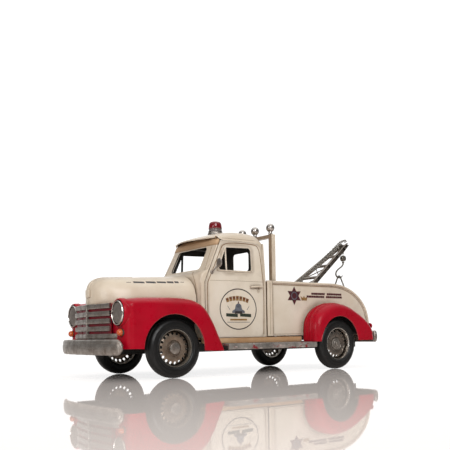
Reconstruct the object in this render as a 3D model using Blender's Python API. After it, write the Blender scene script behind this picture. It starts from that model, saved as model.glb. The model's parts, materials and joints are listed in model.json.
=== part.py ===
"""Toy tow truck, a sheet-metal model at about 1:12 with rolling wheels and a hinged crane boom.

Lengths here are millimetres and become metres through MM. Stations along X are measured forward
from the rear axle, Y is to the truck's left and Z is up from the ground. The datum empty moves the
rear axle back so that the middle of the truck's box stands over the world origin.
"""
import math

import bmesh
import bpy
from mathutils import Vector

MM = 0.001
GAP = 0.35                  # clearance between neighbouring pieces
SHEET = 1.3                 # body sheet thickness, with its paint

# Running gear
WHEELBASE = 246.0
TYRE_R = 32.5
TYRE_HALF = 8.0
FRONT_TRACK = 63.9          # wheel mid-plane from the centre line
REAR_TRACK = 66.5
AXLE_R = 2.1
RIM_R = 20.6
HOLE_RING_R = 16.2
HOLE_R = 1.65
HOLE_COUNT = 18

# Overall box
BUMPER_FRONT = 326.1
BOOM_REAR = -99.78
REAR_AXLE_X = -0.5 * (BUMPER_FRONT + BOOM_REAR)

# Body
BODY_HALF = 51.0            # outer face of the cab side and of the bed side
FLOOR_TOP = 42.8
BODY_BOTTOM = FLOOR_TOP + GAP
BELT_Z = 108.0
TUMBLEHOME = 0.075          # inward lean of the cab above the belt, per millimetre of height
EAVES_Z = 158.0
CAB_FRONT = 193.2
CAB_REAR = 104.4
CAB_BACK = 101.0
FIREWALL = 202.4
WINDSHIELD_BASE = (189.5, 122.0)
WINDSHIELD_TOP = (172.5, EAVES_Z)
HOOD_REAR = 203.2
HOOD_NOSE = 317.5
BED_REAR = -83.0
BED_FLOOR_TOP = 68.0
CARGO_TOP = 68.6            # raised panel of the bed floor behind the boom's seat
RAIL_Z = 111.6

# Fenders
FRONT_FENDER_HALF = 75.6
REAR_FENDER_HALF = 78.0
LAMP_Y = 58.4
LAMP_Z = 70.7
LAMP_R = 13.3
SIGNAL_Y = 63.6
SIGNAL_Z = 50.2
SIGNAL_R = 3.9

# Crane
BOOM_FOOT = Vector((45.0, 0.0, 76.0))
BOOM_TIP = Vector((-98.0, 0.0, 181.0))
BOOM_LENGTH = (BOOM_TIP - BOOM_FOOT).length
ALONG = (BOOM_TIP - BOOM_FOOT) / BOOM_LENGTH
ABOVE = Vector((-ALONG.z, 0.0, ALONG.x)) * -1.0
FOOT_SPREAD = 30.0
TIP_SPREAD = 5.0
BEAM_HALF_DEPTH = 3.0
BEAM_HALF_WIDTH = 2.0
PIVOT_R = 2.0
DRUM_AT = 22.0              # along the boom from its foot
PULLEY_AT = 158.5
PULLEY_R = 4.2
CHAIN_R = 1.2
CHAIN_DROP = 1.9            # hanging chain starts this far below its hinge, clear of the chain above
CHAIN_OFFSET = PULLEY_R + GAP + CHAIN_R
BLOCK_Z = 156.0
BLOCK_R = 4.4
WIRE_R = 1.1

# Light rack
RACK_X = 86.0
RACK_HALF = 47.5
RACK_TOP = 171.5
BAR_SIZE = 6.0
BALL_R = 5.4
BALL_Z = 179.7
BALL_X = 88.0
BALL_SPREADS = {"light_outer_left": 44.0, "light_inner_left": 13.3,
                "light_inner_right": -13.3, "light_outer_right": -44.0}


def clear_scene():
    for item in list(bpy.data.objects):
        bpy.data.objects.remove(item, do_unlink=True)


def finish(name, colour, roughness, metallic=0.0):
    material = bpy.data.materials.new(name)
    material.use_nodes = True
    shader = material.node_tree.nodes["Principled BSDF"]
    shader.inputs["Base Color"].default_value = (*colour, 1.0)
    shader.inputs["Roughness"].default_value = roughness
    shader.inputs["Metallic"].default_value = metallic
    return material


# ---------------------------------------------------------------- outlines and paths

def smooth_path(points, steps):
    """Catmull-Rom curve through the points, with the given steps in each stretch."""
    knots = [Vector(p) for p in points]
    knots = [2 * knots[0] - knots[1]] + knots + [2 * knots[-1] - knots[-2]]
    path = []
    for i in range(1, len(knots) - 2):
        a, b, c, d = knots[i - 1:i + 3]
        for k in range(steps):
            t = k / steps
            path.append(0.5 * (2 * b + (c - a) * t + (2 * a - 5 * b + 4 * c - d) * t ** 2
                               + (3 * b - a - 3 * c + d) * t ** 3))
    path.append(knots[-2])
    return path


def rounded(corners, steps=3):
    """Closed outline whose corners (u, v, radius) are turned into arcs."""
    outline = []
    count = len(corners)
    for i, (u, v, radius) in enumerate(corners):
        corner = Vector((u, v))
        before = (Vector(corners[i - 1][:2]) - corner).normalized()
        after = (Vector(corners[(i + 1) % count][:2]) - corner).normalized()
        if radius == 0:
            outline.append(corner)
            continue
        half = before.angle(after) / 2
        centre = corner + (before + after).normalized() * (radius / math.sin(half))
        start = corner + before * (radius / math.tan(half)) - centre
        end = corner + after * (radius / math.tan(half)) - centre
        for k in range(steps + 1):
            outline.append(centre + start.slerp(end, k / steps, start).normalized() * radius)
    return outline


def superellipse(angle, power):
    """Point of the unit superellipse at an angle, both coordinates with their signs."""
    c, s = math.cos(angle), math.sin(angle)
    return (math.copysign(abs(c) ** (2 / power), c), math.copysign(abs(s) ** (2 / power), s))


# ---------------------------------------------------------------- solids

def solid(name, vertices, faces, material, smooth_angle=None):
    """Object from millimetre vertices, with its faces made to point outward."""
    mesh = bpy.data.meshes.new(name)
    mesh.from_pydata([Vector(v) * MM for v in vertices], [], faces)
    bm = bmesh.new()
    bm.from_mesh(mesh)
    bmesh.ops.recalc_face_normals(bm, faces=bm.faces)
    bm.to_mesh(mesh)
    bm.free()
    mesh.materials.append(material)
    item = bpy.data.objects.new(name, mesh)
    bpy.context.scene.collection.objects.link(item)
    if smooth_angle:
        mesh.shade_smooth()
        mesh.set_sharp_from_angle(angle=math.radians(smooth_angle))
    return item


def rings(name, loops, material, closed=True, smooth_angle=None):
    """Solid lofted through equal rings, with both ends filled."""
    size = len(loops[0])
    vertices = [point for loop in loops for point in loop]
    faces = []
    for i in range(len(loops) - 1):
        for k in range(size if closed else size - 1):
            a, b = i * size + k, i * size + (k + 1) % size
            faces.append((a, b, b + size, a + size))
    faces.append(tuple(range(size)))
    faces.append(tuple(range((len(loops) - 1) * size, len(loops) * size)))
    return solid(name, vertices, faces, material, smooth_angle)


def prism(name, outline, axis, low, high, material, smooth_angle=None):
    """Outline extruded along x, y or z; the outline's coordinates are the other two in order."""
    def place(point, level):
        if axis == "x":
            return (level, point[0], point[1])
        if axis == "y":
            return (point[0], level, point[1])
        return (point[0], point[1], level)
    loops = [[place(p, level) for p in outline] for level in (low, high)]
    return rings(name, loops, material, smooth_angle=smooth_angle)


def block(name, x, y, z, material):
    outline = [(x[0], y[0]), (x[1], y[0]), (x[1], y[1]), (x[0], y[1])]
    return prism(name, outline, "z", z[0], z[1], material)


def lathe(name, profile, axis, centre, segments, material, smooth_angle=35):
    """Closed solid turned around an axis; the profile is (radius, station) pairs, open on the axis
    when its ends have radius 0, and a closed ring otherwise."""
    centre = Vector(centre)
    vertices = []
    rows = []
    for radius, station in profile:
        row = []
        count = 1 if radius == 0 else segments
        for k in range(count):
            angle = 2 * math.pi * k / segments
            u, v = radius * math.cos(angle), radius * math.sin(angle)
            offset = {"x": (station, u, v), "y": (v, station, u), "z": (u, v, station)}[axis]
            row.append(len(vertices))
            vertices.append(centre + Vector(offset))
        rows.append(row)
    pairs = list(zip(rows, rows[1:]))
    if profile[0][0] > 0:
        pairs.append((rows[-1], rows[0]))
    faces = []
    for first, second in pairs:
        for k in range(segments):
            n = (k + 1) % segments
            corners = [first[k % len(first)], first[n % len(first)],
                       second[n % len(second)], second[k % len(second)]]
            faces.append(tuple(dict.fromkeys(corners)))
    return solid(name, vertices, faces, material, smooth_angle)


def sweep(name, path, section, material, across=None, smooth_angle=35):
    """Section of (across, up) pairs carried along a path; "across" fixes the section's first axis,
    which otherwise lies level beside the path."""
    path = [Vector(p) for p in path]
    loops = []
    for i, point in enumerate(path):
        ahead = (path[min(i + 1, len(path) - 1)] - path[max(i - 1, 0)]).normalized()
        side = Vector(across) if across else Vector((0, 0, 1)).cross(ahead)
        side = (side - ahead * side.dot(ahead)).normalized()
        up = ahead.cross(side)
        loops.append([point + side * a + up * b for a, b in section])
    return rings(name, loops, material, smooth_angle=smooth_angle)


def circle(radius, sides):
    return [(radius * math.cos(2 * math.pi * k / sides), radius * math.sin(2 * math.pi * k / sides))
            for k in range(sides)]


def pin(name, a, b, radius, material, sides=10):
    """Round bar between two points."""
    across = (0, 0, 1) if abs((Vector(b) - Vector(a)).normalized().z) < 0.7 else (0, 1, 0)
    return sweep(name, [a, b], circle(radius, sides), material, across=across)


def panel(name, rows, core, material, cap_last=False, thickness=SHEET, smooth_angle=40):
    """Sheet-metal shell: a surface through rows of points, thickened towards the core point."""
    size = len(rows[0])
    vertices = [point for row in rows for point in row]
    faces = []
    for i in range(len(rows) - 1):
        for k in range(size - 1):
            a = i * size + k
            faces.append((a, a + 1, a + size + 1, a + size))
    if cap_last:
        faces.append(tuple(range((len(rows) - 1) * size, len(rows) * size)))
    item = solid(name, vertices, faces, material, smooth_angle)
    inside = Vector(core) * MM
    facing = sum((f.center - inside).dot(f.normal) * f.area for f in item.data.polygons)
    if facing < 0:
        item.data.flip_normals()
    shell = item.modifiers.new("sheet", "SOLIDIFY")
    shell.thickness = thickness * MM
    shell.offset = -1.0
    shell.use_even_offset = True
    settle(item)
    return item


def settle(item):
    """Apply the object's modifiers."""
    view = bpy.context.evaluated_depsgraph_get()
    mesh = bpy.data.meshes.new_from_object(item.evaluated_get(view))
    old = item.data
    item.modifiers.clear()
    item.data = mesh
    mesh.name = item.name
    bpy.data.meshes.remove(old)


def combine(item, others, operation):
    """Cut the others from the item, or join them to it, and remove them."""
    for other in others:
        step = item.modifiers.new("combine", "BOOLEAN")
        step.operation = operation
        step.object = other
        settle(item)
        bpy.data.objects.remove(other, do_unlink=True)
    return item


def cut(item, *cutters):
    return combine(item, cutters, "DIFFERENCE")


def join(item, *others):
    return combine(item, others, "UNION")


def lean_in(item, side):
    """Fold a flat cab side inward above the belt line."""
    bm = bmesh.new()
    bm.from_mesh(item.data)
    bmesh.ops.bisect_plane(bm, geom=bm.verts[:] + bm.edges[:] + bm.faces[:], dist=1e-7,
                           plane_co=(0, 0, BELT_Z * MM), plane_no=(0, 0, 1))
    for vertex in bm.verts:
        vertex.co.y -= side * TUMBLEHOME * max(0.0, vertex.co.z - BELT_Z * MM)
    bm.to_mesh(item.data)
    bm.free()


def cab_half(z):
    return BODY_HALF - TUMBLEHOME * max(0.0, z - BELT_Z)


def hood_half(x):
    """Half width of the hood in plan, rounded at the nose."""
    width = 34.5 + 12.5 * (HOOD_NOSE - x) / (HOOD_NOSE - HOOD_REAR)
    near = min(1.0, max(0.0, (HOOD_NOSE - x) / 44.0))
    return max(3.2, width * (1 - (1 - near) ** 2.15) ** (1 / 2.15))


def hood_top(x):
    """Height of the hood on the centre line, rounded over at the nose."""
    crown = 119.0 - 5.5 * (x - HOOD_REAR) / (HOOD_NOSE - HOOD_REAR)
    near = min(1.0, max(0.0, (HOOD_NOSE - x) / 17.0))
    return 97.0 + (crown - 97.0) * (1 - (1 - near) ** 2.2) ** (1 / 2.2)


# ---------------------------------------------------------------- chassis

def make_chassis(paint):
    black = paint["black"]
    frame = block("chassis_frame", (-85.0, 319.4), (-24.5, -19.5), (26.3, 36.0), black)
    bars = [block("bar", (-85.0, 319.4), (19.5, 24.5), (26.3, 36.0), black)]
    for x in (-70.0, 45.0, 150.0, 290.0):
        bars.append(block("bar", (x, x + 8.0), (-22.0, 22.0), (27.3, 35.0), black))
    join(frame, *bars)
    holes = [pin("hole", (x, -40, TYRE_R), (x, 40, TYRE_R), AXLE_R + GAP, black)
             for x in (0.0, WHEELBASE)]
    cut(frame, *holes)
    for name, x, track in (("front_axle", WHEELBASE, FRONT_TRACK), ("rear_axle", 0.0, REAR_TRACK)):
        pin(name, (x, -track - 3.0, TYRE_R), (x, track + 3.0, TYRE_R), AXLE_R, paint["steel"])
    tray = [(-50, 36.3), (-50, FLOOR_TOP), (50, FLOOR_TOP), (50, 36.3),
            (48, 36.3), (48, FLOOR_TOP - 2), (-48, FLOOR_TOP - 2), (-48, 36.3)]
    prism("floor_board", tray, "x", 43.0, 198.0, paint["tan"])
    for side, word in ((1, "left"), (-1, "right")):
        step = [(26, 33.4), (26, 35.6), (73.4, 35.6), (74.2, 34.8), (74.2, 28), (72.2, 28), (72.2, 33.4)]
        prism("running_board_" + word, [(y * side, z) for y, z in step], "x", 37.0, 179.5,
              paint["pewter"])


def make_bumpers(paint):
    section = [(-2.6, -5.5), (-1.4, -8.4), (1.4, -8.4), (2.6, -5.5),
               (2.6, 5.5), (1.4, 8.4), (-1.4, 8.4), (-2.6, 5.5)]
    half = [(323.5, 0), (322.8, 27), (321.0, 48), (318.0, 61), (314.4, 70), (311.6, 74.2)]
    path = [(x, -y, 35.0) for x, y in reversed(half)] + [(x, y, 35.0) for x, y in half[1:]]
    sweep("front_bumper", path, section, paint["pewter"])
    half = [(-88.5, 0), (-88.0, 42), (-86.5, 57), (-82.5, 64), (-77.0, 67)]
    path = [(x, -y, 41.2) for x, y in reversed(half)] + [(x, y, 41.2) for x, y in half[1:]]
    sweep("rear_bumper", path, [(a, b * 0.95) for a, b in section], paint["pewter"])


# ---------------------------------------------------------------- wheels

def make_wheel(name, x, track, side, paint):
    """Tyre and pierced rim, both with their origin on the wheel's axis."""
    centre = (x, track * side, TYRE_R)
    bead, wall = RIM_R + 0.4, TYRE_HALF
    tread = [(bead, -6.4), (24.5, -wall), (28.8, -wall), (TYRE_R, -4.6),
             (TYRE_R, 4.6), (28.8, wall), (24.5, wall), (bead, 6.4)]
    tyre = lathe("tyre_" + name, tread, "y", centre, 26, paint["tyre"])
    profile = [(0, 3.3), (AXLE_R + GAP, 3.3), (AXLE_R + GAP, -5.0), (4.6, -5.0), (4.6, 1.0),
               (19.0, 1.0), (19.0, -6.2), (RIM_R, -6.2), (RIM_R, 6.4), (19.0, 6.4),
               (19.0, 2.4), (7.0, 2.4), (6.3, 5.8), (0, 5.8)]
    profile = [(r, s * side) for r, s in profile]
    rim = lathe("rim_" + name, profile, "y", centre, 18, paint["bronze"])
    hole = pin("hole", (0, 0, 0), (0, 5 * side, 0), HOLE_R, paint["bronze"], sides=4)
    cutters = []
    for k in range(HOLE_COUNT):
        angle = 2 * math.pi * (k + 0.25) / HOLE_COUNT
        copy = bpy.data.objects.new("hole", hole.data.copy())
        bpy.context.scene.collection.objects.link(copy)
        place = Vector((HOLE_RING_R * math.sin(angle), -0.8 * side, HOLE_RING_R * math.cos(angle)))
        copy.data.transform(copy.matrix_basis.Translation((Vector(centre) + place) * MM))
        cutters.append(copy)
    bpy.data.objects.remove(hole, do_unlink=True)
    ring = cutters[0]
    bm = bmesh.new()
    for cutter in cutters:
        bm.from_mesh(cutter.data)
    bm.to_mesh(ring.data)
    bm.free()
    for cutter in cutters[1:]:
        bpy.data.objects.remove(cutter, do_unlink=True)
    cut(rim, ring)
    return tyre, rim, centre


# ---------------------------------------------------------------- front end

def make_hood(paint):
    stations = [HOOD_REAR, 245, 280, 294, 302, 308, 313, 316.2, HOOD_NOSE]
    rows = []
    for x in stations:
        base = 82.0 if x > 304 else 76.0
        row = []
        for k in range(13):
            c, s = superellipse(math.pi * k / 12, 3.0)
            row.append((x, hood_half(x) * c, base + (hood_top(x) - base) * s))
        rows.append(row)
    panel("hood", rows, (250, 0, 90), paint["ivory"], cap_last=True)


def make_grille(paint):
    def plan(y, bulge):
        return 309.3 + bulge + (1 - abs(y) / 45.0) * 5.2
    rows = []
    for z in (44.0, 81.6):
        rows.append([(plan(y, 0), y, z) for y in (-44.3, -20, 0, 20, 44.3)])
    panel("grille_panel", rows, (280, 0, 62), paint["red"], thickness=1.0)
    bars = []
    for i in range(5):
        z = 46.6 + 8.1 * i
        reach = 53.0 if i == 0 else 44.2
        path = [(plan(y, 1.9), y, z) for y in (-reach, -20, 0, 20, reach)]
        section = [(-1.5, -1.6), (0, -2.4), (1.5, -1.6), (1.5, 1.6), (0, 2.4), (-1.5, 1.6)]
        bars.append(sweep("grille_bars", path, section, paint["pewter"]))
    ribs = [block("rib", (x, x + 1.6), (y - 1.6, y + 1.6), (46.0, 79.0), paint["pewter"])
            for x, y in ((plan(24, 1.0), 24), (plan(24, 1.0), -24), (plan(0, 1.0), 0))]
    join(bars[0], *ribs, *bars[1:])


def make_fender(name, side, outline, levels, inner, arch, material):
    """Pressed fender: the side outline (x, z) carried outward through levels of
    (y, inset, drop); inner(x, y) gives each point's own y. The arch is (x, z, a, b)."""
    low = min(z for x, z in outline)
    high = max(z for x, z in outline)
    path = [Vector(p) for p in outline]
    rows = []
    for y, inset, drop in levels:
        row = []
        for i, point in enumerate(path):
            inward = Vector((arch[0], point.y if i in (0, len(path) - 1) else 45.0)) - point
            x, z = point + inward.normalized() * inset
            z -= drop * (z - low) / (high - low)
            row.append((x, side * inner(x, y), z))
        rows.append(row)
    mid = 0.5 * (outline[0][0] + outline[-1][0])
    fender = panel(name, rows, (mid, side * 60, 30), material, cap_last=True)
    ax, az, a, b = arch
    opening = [(ax + a * math.cos(math.pi * k / 12), az + b * math.sin(math.pi * k / 12))
               for k in range(13)]
    opening += [(ax - a, low - 6), (ax + a, low - 6)]
    cut(fender, prism("arch", opening, "y", side * 62, side * 95, material))
    return fender


def make_fenders(paint):
    front = smooth_path([(300.0, 85.6), (282, 87.0), (245, 87.6), (222, 85.6), (206.5, 78.0),
                         (195.5, 62.0), (188.5, 45.0), (182.0, 28.4)], 2)
    front = [Vector((307.0, 33.0)), Vector((307.0, 79.5)), Vector((305.0, 83.6))] + front

    def front_inner(x, y):
        shell = hood_half(x) + 0.6
        cab = BODY_HALF + 0.6
        blend = min(1.0, max(0.0, (214.0 - x) / 11.0))
        edge = shell + (cab - shell) * blend
        return edge + (y - 50.0) / 8.0 * (58.0 - edge) if y < 58 else y

    front_levels = [(50, 0, 8.5), (53, 0, 3.0), (58, 0, 0), (67, 0.6, 0), (72.6, 3.2, 0),
                    (FRONT_FENDER_HALF, 10.0, 0)]
    rear = smooth_path([(42.0, 36.0), (41.5, 56), (37, 68.5), (27, 78), (10, 84.6), (-8, 84.8),
                        (-25, 80.4), (-43, 71.4), (-58, 61), (-67, 50), (-69.5, 36.6)], 2)
    rear_levels = [(BODY_HALF + 1.6, 0, 0), (66, 0.8, 0), (72.5, 2.8, 0), (76.4, 6.4, 0),
                   (REAR_FENDER_HALF, 11.5, 0)]
    for side, word in ((1, "left"), (-1, "right")):
        fender = make_fender("fender_front_" + word, side, front, front_levels, front_inner,
                             (WHEELBASE + 3.0, 32.0, 38.0, 37.6), paint["red"])
        lamp = lathe("hole", [(0, 290), (LAMP_R + GAP, 290), (LAMP_R + GAP, 312), (0, 312)], "x",
                     (0, LAMP_Y * side, LAMP_Z), 20, paint["red"])
        signal = lathe("hole", [(0, 300), (SIGNAL_R + GAP, 300), (SIGNAL_R + GAP, 312), (0, 312)],
                       "x", (0, SIGNAL_Y * side, SIGNAL_Z), 12, paint["red"])
        cut(fender, lamp, signal)
        make_fender("fender_rear_" + word, side, rear, rear_levels, lambda x, y: y,
                    (0.0, 32.0, 34.2, 36.6), paint["red"])
        lathe("headlight_" + word,
              [(0, 299), (LAMP_R, 299), (LAMP_R, 309.0), (12.6, 309.9), (11.7, 308.4), (0, 309.6)],
              "x", (0, LAMP_Y * side, LAMP_Z), 20, paint["pewter"])
        lathe("turn_signal_" + word,
              [(0, 302.5), (SIGNAL_R, 302.5), (SIGNAL_R, 309.4), (2.6, 311.4), (0, 312.2)], "x",
              (0, SIGNAL_Y * side, SIGNAL_Z), 12, paint["amber"])
        lathe("tail_light_" + word,
              [(0, -70.4), (4.0, -70.4), (4.0, -73.4), (2.8, -75.0), (0, -75.4)], "x",
              (0, 63.0 * side, 55.5), 12, paint["lens"])


# ---------------------------------------------------------------- cab

def wrap(side_x, front_x, half, power, heights, count=13):
    """Row of points around the cab's front or back, from the left side to the right."""
    row = []
    for k in range(count):
        c, s = superellipse(math.pi * k / (count - 1), power)
        edge, rise = heights
        row.append((side_x + (front_x - side_x) * s, half * c, edge + rise * (1 - abs(c) ** 4)))
    return row


def make_cowl(paint):
    def screen(z):
        (x0, z0), (x1, z1) = WINDSHIELD_BASE, WINDSHIELD_TOP
        return x0 + (x1 - x0) * (z - z0) / (z1 - z0)

    def pillar(z):
        return CAB_FRONT + GAP - 0.5 * max(0.0, z - BELT_Z)

    levels = [(BODY_BOTTOM, FIREWALL), (80, FIREWALL), (BELT_Z, FIREWALL), (114, 202.0),
              (118, 200.4), (120.3, 196.5), (121.4, 191.5), (122.4, screen(122.4)),
              (137, screen(137)), (150, screen(150))]
    rows = [wrap(pillar(z), x, cab_half(z) - 0.6, 5.0, (z, 0)) for z, x in levels]
    rows.append(wrap(pillar(EAVES_Z), screen(EAVES_Z + 3), cab_half(EAVES_Z) - 0.6, 5.0,
                     (EAVES_Z, 6.0)))
    cowl = panel("cab_cowl", rows, (150, 0, 90), paint["ivory"], thickness=1.5)
    opening = rounded([(-32.5, 124.0, 4), (32.5, 124.0, 4), (32.0, 151.0, 4), (-32.0, 151.0, 4)])
    cut(cowl, prism("opening", opening, "x", 150, 215, paint["ivory"]))


def make_cab_sides(paint):
    for side, word in ((1, "left"), (-1, "right")):
        outline = [(CAB_REAR + GAP, BODY_BOTTOM), (CAB_FRONT - GAP, BODY_BOTTOM),
                   (CAB_FRONT - GAP, BELT_Z), (CAB_FRONT - GAP - 0.5 * (EAVES_Z - BELT_Z), EAVES_Z),
                   (CAB_REAR + GAP, EAVES_Z)]
        low, high = sorted((side * (BODY_HALF - 1.8), side * BODY_HALF))
        panel_side = prism("cab_side_" + word, outline, "y", low, high, paint["ivory"])
        vent = rounded([(162.6, 123, 0.6), (173.5, 123, 2), (162.6, 147.5, 0.6)], steps=2)
        main = rounded([(124, 123, 4), (160.4, 123, 0.6), (160.4, 150, 0.6), (124, 151, 4)])
        cut(panel_side,
            prism("vent", vent, "y", side * 40, side * 60, paint["ivory"]),
            prism("window", main, "y", side * 40, side * 60, paint["ivory"]))
        lean_in(panel_side, side)
        low, high = sorted((side * (BODY_HALF + GAP), side * (BODY_HALF + 3.4)))
        grip = rounded([(128.5, 103.2, 0.8), (128.5, 104.6, 0.8), (111, 105.6, 1.2),
                        (107.8, 104.6, 1.2), (107.8, 102.4, 1.2), (113, 101.8, 1.2)], steps=2)
        prism("door_handle_" + word, grip, "y", low, high, paint["ivory"])


def make_cab_rear(paint):
    rows = [wrap(CAB_REAR, CAB_BACK, cab_half(z) - 0.3, 9.0, (z, rise), count=11)
            for z, rise in ((BODY_BOTTOM, 0), (BELT_Z, 0), (EAVES_Z, 0))]
    wall = panel("cab_rear_wall", rows, (150, 0, 90), paint["ivory"], thickness=1.5)
    opening = rounded([(-17, 127.5, 4), (17, 127.5, 4), (17, 151.5, 4), (-17, 151.5, 4)])
    cut(wall, prism("opening", opening, "x", 95, 115, paint["ivory"]))


def make_roof(paint):
    """Roof skin that runs on forward into the sun visor, whose edge is swept back at its ends."""
    eaves = EAVES_Z + 0.9
    stations = [(100.8, 0, 47.0, eaves, 159.6), (101.6, 0, 47.2, eaves, 163.4),
                (104.0, 0, 47.4, eaves, 167.0), (109, 0, 47.6, eaves, 169.8),
                (120, 0, 47.6, eaves, 172.0), (136, 0, 47.6, eaves, 172.6),
                (152, 0, 47.6, eaves, 171.2), (166, 1.5, 47.4, eaves, 168.2),
                (172.5, 4.5, 46.6, 159.6, 166.4), (179, 9, 45.2, 162.3, 164.4),
                (186.5, 14, 43.6, 163.6, 161.6)]
    rows = []
    for x, sweep_back, half, edge, crown in stations:
        row = []
        for k in range(13):
            c, s = superellipse(math.pi * k / 12, 3.6)
            row.append((x - sweep_back * c * c, half * c, edge + (crown - edge) * s))
        rows.append(row)
    panel("cab_roof", rows, (135, 0, 120), paint["ivory"], smooth_angle=50)
    lathe("beacon_base", [(0, 173.0), (9.8, 173.0), (9.8, 174.6), (9.0, 176.2), (0, 176.2)], "z",
          (141.5, 0, 0), 20, paint["steel"])
    lathe("beacon_dome", [(0, 176.5), (8.9, 176.5), (8.2, 184.0), (7.2, 187.2), (4.8, 188.9),
                          (0, 189.4)], "z", (141.5, 0, 0), 20, paint["lens"])


def make_interior(paint):
    bench = rounded([(112, 62, 2), (148, 60, 4), (150, 76, 5), (122, 78, 1), (115, 112, 3),
                     (107, 112, 2), (107, 62, 2)], steps=2)
    prism("bench_seat", bench, "y", -44, 44, paint["leather"], smooth_angle=40)
    hub = Vector((171.0, 22.0, 106.0))
    tilt = Vector((-0.72, 0, 0.69))
    level = Vector((0, 1, 0))
    rise = level.cross(tilt)
    ring_path = []
    for k in range(16):
        angle = 2 * math.pi * k / 16
        ring_path.append((math.cos(angle), math.sin(angle)))
    loops = [[hub + (level * c + rise * s) * (12.5 + a) + tilt * b for a, b in circle(1.2, 6)]
             for c, s in ring_path]
    vertices = [v for loop in loops for v in loop]
    faces = []
    for i in range(16):
        for k in range(6):
            j, n = (i + 1) % 16, (k + 1) % 6
            faces.append((i * 6 + k, i * 6 + n, j * 6 + n, j * 6 + k))
    wheel = solid("steering_wheel", vertices, faces, paint["black"], 40)
    parts = [pin("column", hub + tilt * 1.5, hub - tilt * 34, 1.5, paint["black"], sides=8)]
    for k in range(3):
        angle = math.pi / 2 + 2 * math.pi * k / 3
        reach = (level * math.cos(angle) + rise * math.sin(angle)) * 12.4
        parts.append(pin("spoke", hub, hub + reach, 0.9, paint["black"], sides=6))
    join(wheel, *parts)


def make_mirror(paint):
    disc = lathe("mirror_left", [(0, -0.9), (4.9, -0.9), (5.3, 0), (4.9, 0.9), (0, 0.9)], "x",
                 (180.0, 60.5, 129.5), 16, paint["pewter"])
    join(disc, pin("arm", (183.0, 51.0, 119.5), (180.3, 57.5, 126.0), 0.9, paint["pewter"], sides=8))


# ---------------------------------------------------------------- rack and bed

def make_rack(paint):
    inner = RACK_HALF - BAR_SIZE
    foot = BED_FLOOR_TOP + GAP
    outline = [(-RACK_HALF, foot), (-RACK_HALF, RACK_TOP), (RACK_HALF, RACK_TOP),
               (RACK_HALF, foot), (inner, foot), (inner, RACK_TOP - 4.2),
               (-inner, RACK_TOP - 4.2), (-inner, foot)]
    prism("light_rack", outline, "x", RACK_X - BAR_SIZE / 2, RACK_X + BAR_SIZE / 2, paint["ivory"])
    ball = [(0, RACK_TOP + GAP), (2.2, RACK_TOP + GAP)]
    for k in range(1, 6):
        angle = math.pi * k / 6
        ball.append((BALL_R * math.sin(angle), BALL_Z - BALL_R * math.cos(angle)))
    ball.append((0, BALL_Z + BALL_R))
    for name, y in BALL_SPREADS.items():
        lathe(name, ball, "z", (BALL_X, y, 0), 14, paint["chrome"])


def make_bed(paint):
    ivory = paint["ivory"]
    floor = block("bed_floor", (-79.4, 99.8), (-47.9, 47.9), (BED_FLOOR_TOP - 1.6, BED_FLOOR_TOP), ivory)
    join(floor, block("cargo_panel", (-76.0, 29.0), (-44.0, 44.0), (BED_FLOOR_TOP - 0.8, CARGO_TOP), ivory))
    block("bed_tail", (-81.6, -79.8), (-47.9, 47.9), (BODY_BOTTOM + 0.6, 72.0), ivory)
    tail = smooth_path([(-17, RAIL_Z), (-33, 109.3), (-50, 103.6), (-66, 93.2), (-77, 80),
                        (-82, 66), (BED_REAR, 52)], 2)
    edge = [Vector((92.5, RAIL_Z))] + tail + [Vector((BED_REAR, 44.2))]
    outline = [Vector((100.6, 44.2)), Vector((100.6, RAIL_Z))] + edge[1:]
    for side, word in ((1, "left"), (-1, "right")):
        low, high = sorted((side * 48.3, side * 50.4))
        wall = prism("bed_side_" + word, outline, "y", low, high, ivory)
        route = [(p.x, side * 50.5, p.y - 0.6) for p in edge[:-1]]
        bead = sweep("bead", route, circle(1.7, 6), ivory, across=(0, 1, 0))
        low, high = sorted((side * 49.4, side * 51.8))
        post = block("post", (92.4, 100.7), (low, high), (44.0, RAIL_Z + 1.2), ivory)
        join(wall, bead, post)


# ---------------------------------------------------------------- crane

def boom_point(along, above=0.0, y=0.0):
    point = BOOM_FOOT + ALONG * along + ABOVE * above
    point.y = y
    return point


def beam_y(along):
    return FOOT_SPREAD + (TIP_SPREAD - FOOT_SPREAD) * along / BOOM_LENGTH


def boom_bar(name, start, end, width, depth, material):
    """Straight bar with its depth square to the boom's slope."""
    loops = []
    for along, y in (start, end):
        loops.append([boom_point(along + du, dn, y + dy) for du, dn, dy in
                      ((0, -depth, -width), (0, depth, -width), (0, depth, width), (0, -depth, width))])
    return rings(name, loops, material)


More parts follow.
